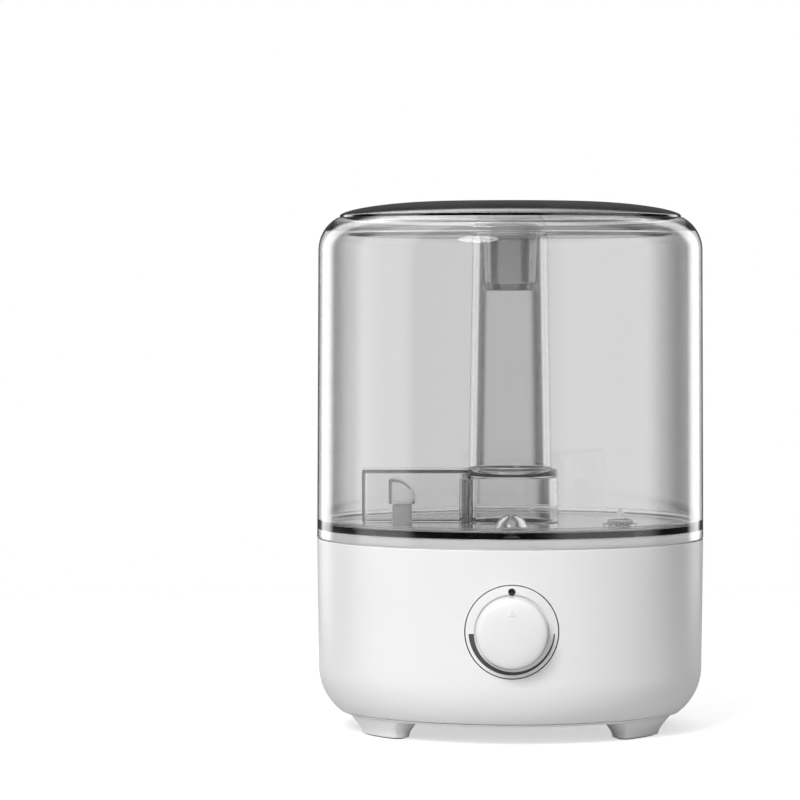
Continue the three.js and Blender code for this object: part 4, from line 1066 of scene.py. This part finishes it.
def dome_points(edge, drop, steps=32):
    """The dome's curve from the flat part out to its edge."""
    radii = [FLAT_R + (edge - FLAT_R) * math.sin(math.radians(90) * k / steps) for k in range(steps + 1)]
    return [(radius, lid_height(radius, edge) - drop) for radius in radii]


cap_low, cap_high = span("nozzle_cap")
CAP_R = (cap_high.x - cap_low.x) / 2
CAP_SEAT = cap_low.z - GAP
sleeve_low, sleeve_high = span("nozzle_sleeve")
lid = turned("lid", [
    (14.35, CAP_SEAT - LID_WALL, 0.4), (14.35, CAP_SEAT, 0.3), (CAP_R + GAP, CAP_SEAT, 0.2),
    (CAP_R + GAP, LID_TOP, 0.3), *dome_points(LID_R, 0), (LID_R, lid_low.z, 0.5),
    (LID_R - LID_WALL, lid_low.z, 0.5),
    *reversed(dome_points(LID_R - LID_WALL, LID_WALL)), (CAP_R + LID_WALL, LID_TOP - LID_WALL, 0.6),
    (CAP_R + LID_WALL, CAP_SEAT - LID_WALL, 0.5),
], steps=240)
made(lid, "lid", "lid", material=smoked_lid)
print("lid radius", round(LID_R, 2), "top", round(LID_TOP, 1))

# %% [markdown]
# The nozzle is two pieces that turn together: a sleeve that hangs down into the tube, with
# a wide flange near its top and a thick ring at its foot, and a cap with the mist's slot.

# %% Nozzle
SLEEVE_TOP, SLEEVE_FOOT, SLEEVE_WALL = 13.85, 12.75, 1.4
flange = sleeve_high.x
flange_low = tube_high.z + GAP
sleeve = turned("nozzle_sleeve", [
    (SLEEVE_FOOT - SLEEVE_WALL, sleeve_low.z, 0.6), (SLEEVE_FOOT + 1.1, sleeve_low.z, 1.1),
    (SLEEVE_FOOT + 1.1, sleeve_low.z + 3.9, 0.9), (SLEEVE_FOOT, sleeve_low.z + 3.9, 0.3),
    (SLEEVE_TOP, flange_low, 0.3), (flange, flange_low, 0.4), (flange, flange_low + 2.3, 0.5),
    (SLEEVE_TOP, flange_low + 2.3, 0.4), (SLEEVE_TOP, sleeve_high.z, 0.2),
    (SLEEVE_TOP - SLEEVE_WALL, sleeve_high.z, 0.3),
])
made(sleeve, "nozzle", "nozzle_sleeve")
cap = turned("nozzle_cap", [
    (0, cap_low.z), (CAP_R, cap_low.z, 0.3), (CAP_R, cap_high.z, 0.5), (0, cap_high.z),
], steps=128)
slot_outline = [(-11, -4, 3.9), (11, -4, 3.9), (11, 4, 3.9), (-11, 4, 3.9)]
carve(cap, pushed("tool", slot_outline, cap_low.z - 1, cap_high.z + 1))
made(cap, "nozzle", "nozzle_cap")
print("cap radius", round(CAP_R, 1), "flange", round(flange, 1))

# %% [markdown]
# The floor is near white. It glows a little where it is seen straight on or through clear
# plastic, and it fades out to nothing away from the object. The lamp stands in front, a
# little to the left and high up, and reflections don't show it.

# %% Floor and lamp
FADE = (0.35, 1.0)
FLOOR_GLOW = 0.6
floor_mesh = bmesh.new()
bmesh.ops.create_grid(floor_mesh, x_segments=1, y_segments=1, size=1200)
floor = keep("floor", floor_mesh)
floor_paint, tree, principled = shader("floor_paint", "#dadada", Roughness=0.9)
principled.inputs["Emission Color"].default_value = linear("#ffffff")
seen = add(tree, "ShaderNodeLightPath").outputs
shown = add(
    tree, "ShaderNodeMath", {0: seen["Is Camera Ray"], 1: seen["Is Transmission Ray"]},
    operation="MAXIMUM",
)
lift = add(tree, "ShaderNodeMath", {0: shown.outputs[0], 1: FLOOR_GLOW}, operation="MULTIPLY")
tree.links.new(lift.outputs[0], principled.inputs["Emission Strength"])
place = add(tree, "ShaderNodeTexCoord").outputs["Object"]
reach = add(tree, "ShaderNodeVectorMath", {0: place, 1: AXIS}, operation="DISTANCE").outputs["Value"]
fade = add(
    tree, "ShaderNodeMapRange", {0: reach, 1: FADE[0], 2: FADE[1]},
    interpolation_type="SMOOTHSTEP",
)
open_air = add(tree, "ShaderNodeBsdfTransparent")
mixed = add(tree, "ShaderNodeMixShader", {
    0: fade.outputs[0], 1: principled.outputs["BSDF"], 2: open_air.outputs["BSDF"],
})
tree.links.new(mixed.outputs[0], tree.nodes["Material Output"].inputs["Surface"])
floor.data.materials.append(floor_paint)

LAMP_POWER = 21
lamp_data = bpy.data.lights.new("soft lamp", "AREA")
lamp_data.shape = "DISK"
lamp_data.size = 0.7
lamp_data.energy = LAMP_POWER
soft_lamp = bpy.data.objects.new("soft lamp", lamp_data)
soft_lamp.location = AXIS + Vector((-0.55, -1.45, 1.15))
soft_lamp.visible_glossy = False
towards = AXIS + Vector((0, 0, 0.12)) - soft_lamp.location
soft_lamp.rotation_euler = towards.to_track_quat("-Z", "Y").to_euler()
scene.collection.objects.link(soft_lamp)
print("lamp at", [round(v, 2) for v in soft_lamp.location])

# %% [markdown]
# Last, how light is counted. Clear walls inside clear walls need many passes, or the inner
# ones turn black. Colours go to the screen with the plain Standard view, so white stays
# white.

# %% Light passes and view
cycles = scene.cycles
cycles.max_bounces = 28
cycles.transmission_bounces = 28
cycles.glossy_bounces = 8
cycles.transparent_max_bounces = 16
cycles.use_denoising = True
scene.view_settings.view_transform = "Standard"
scene.view_settings.look = "None"
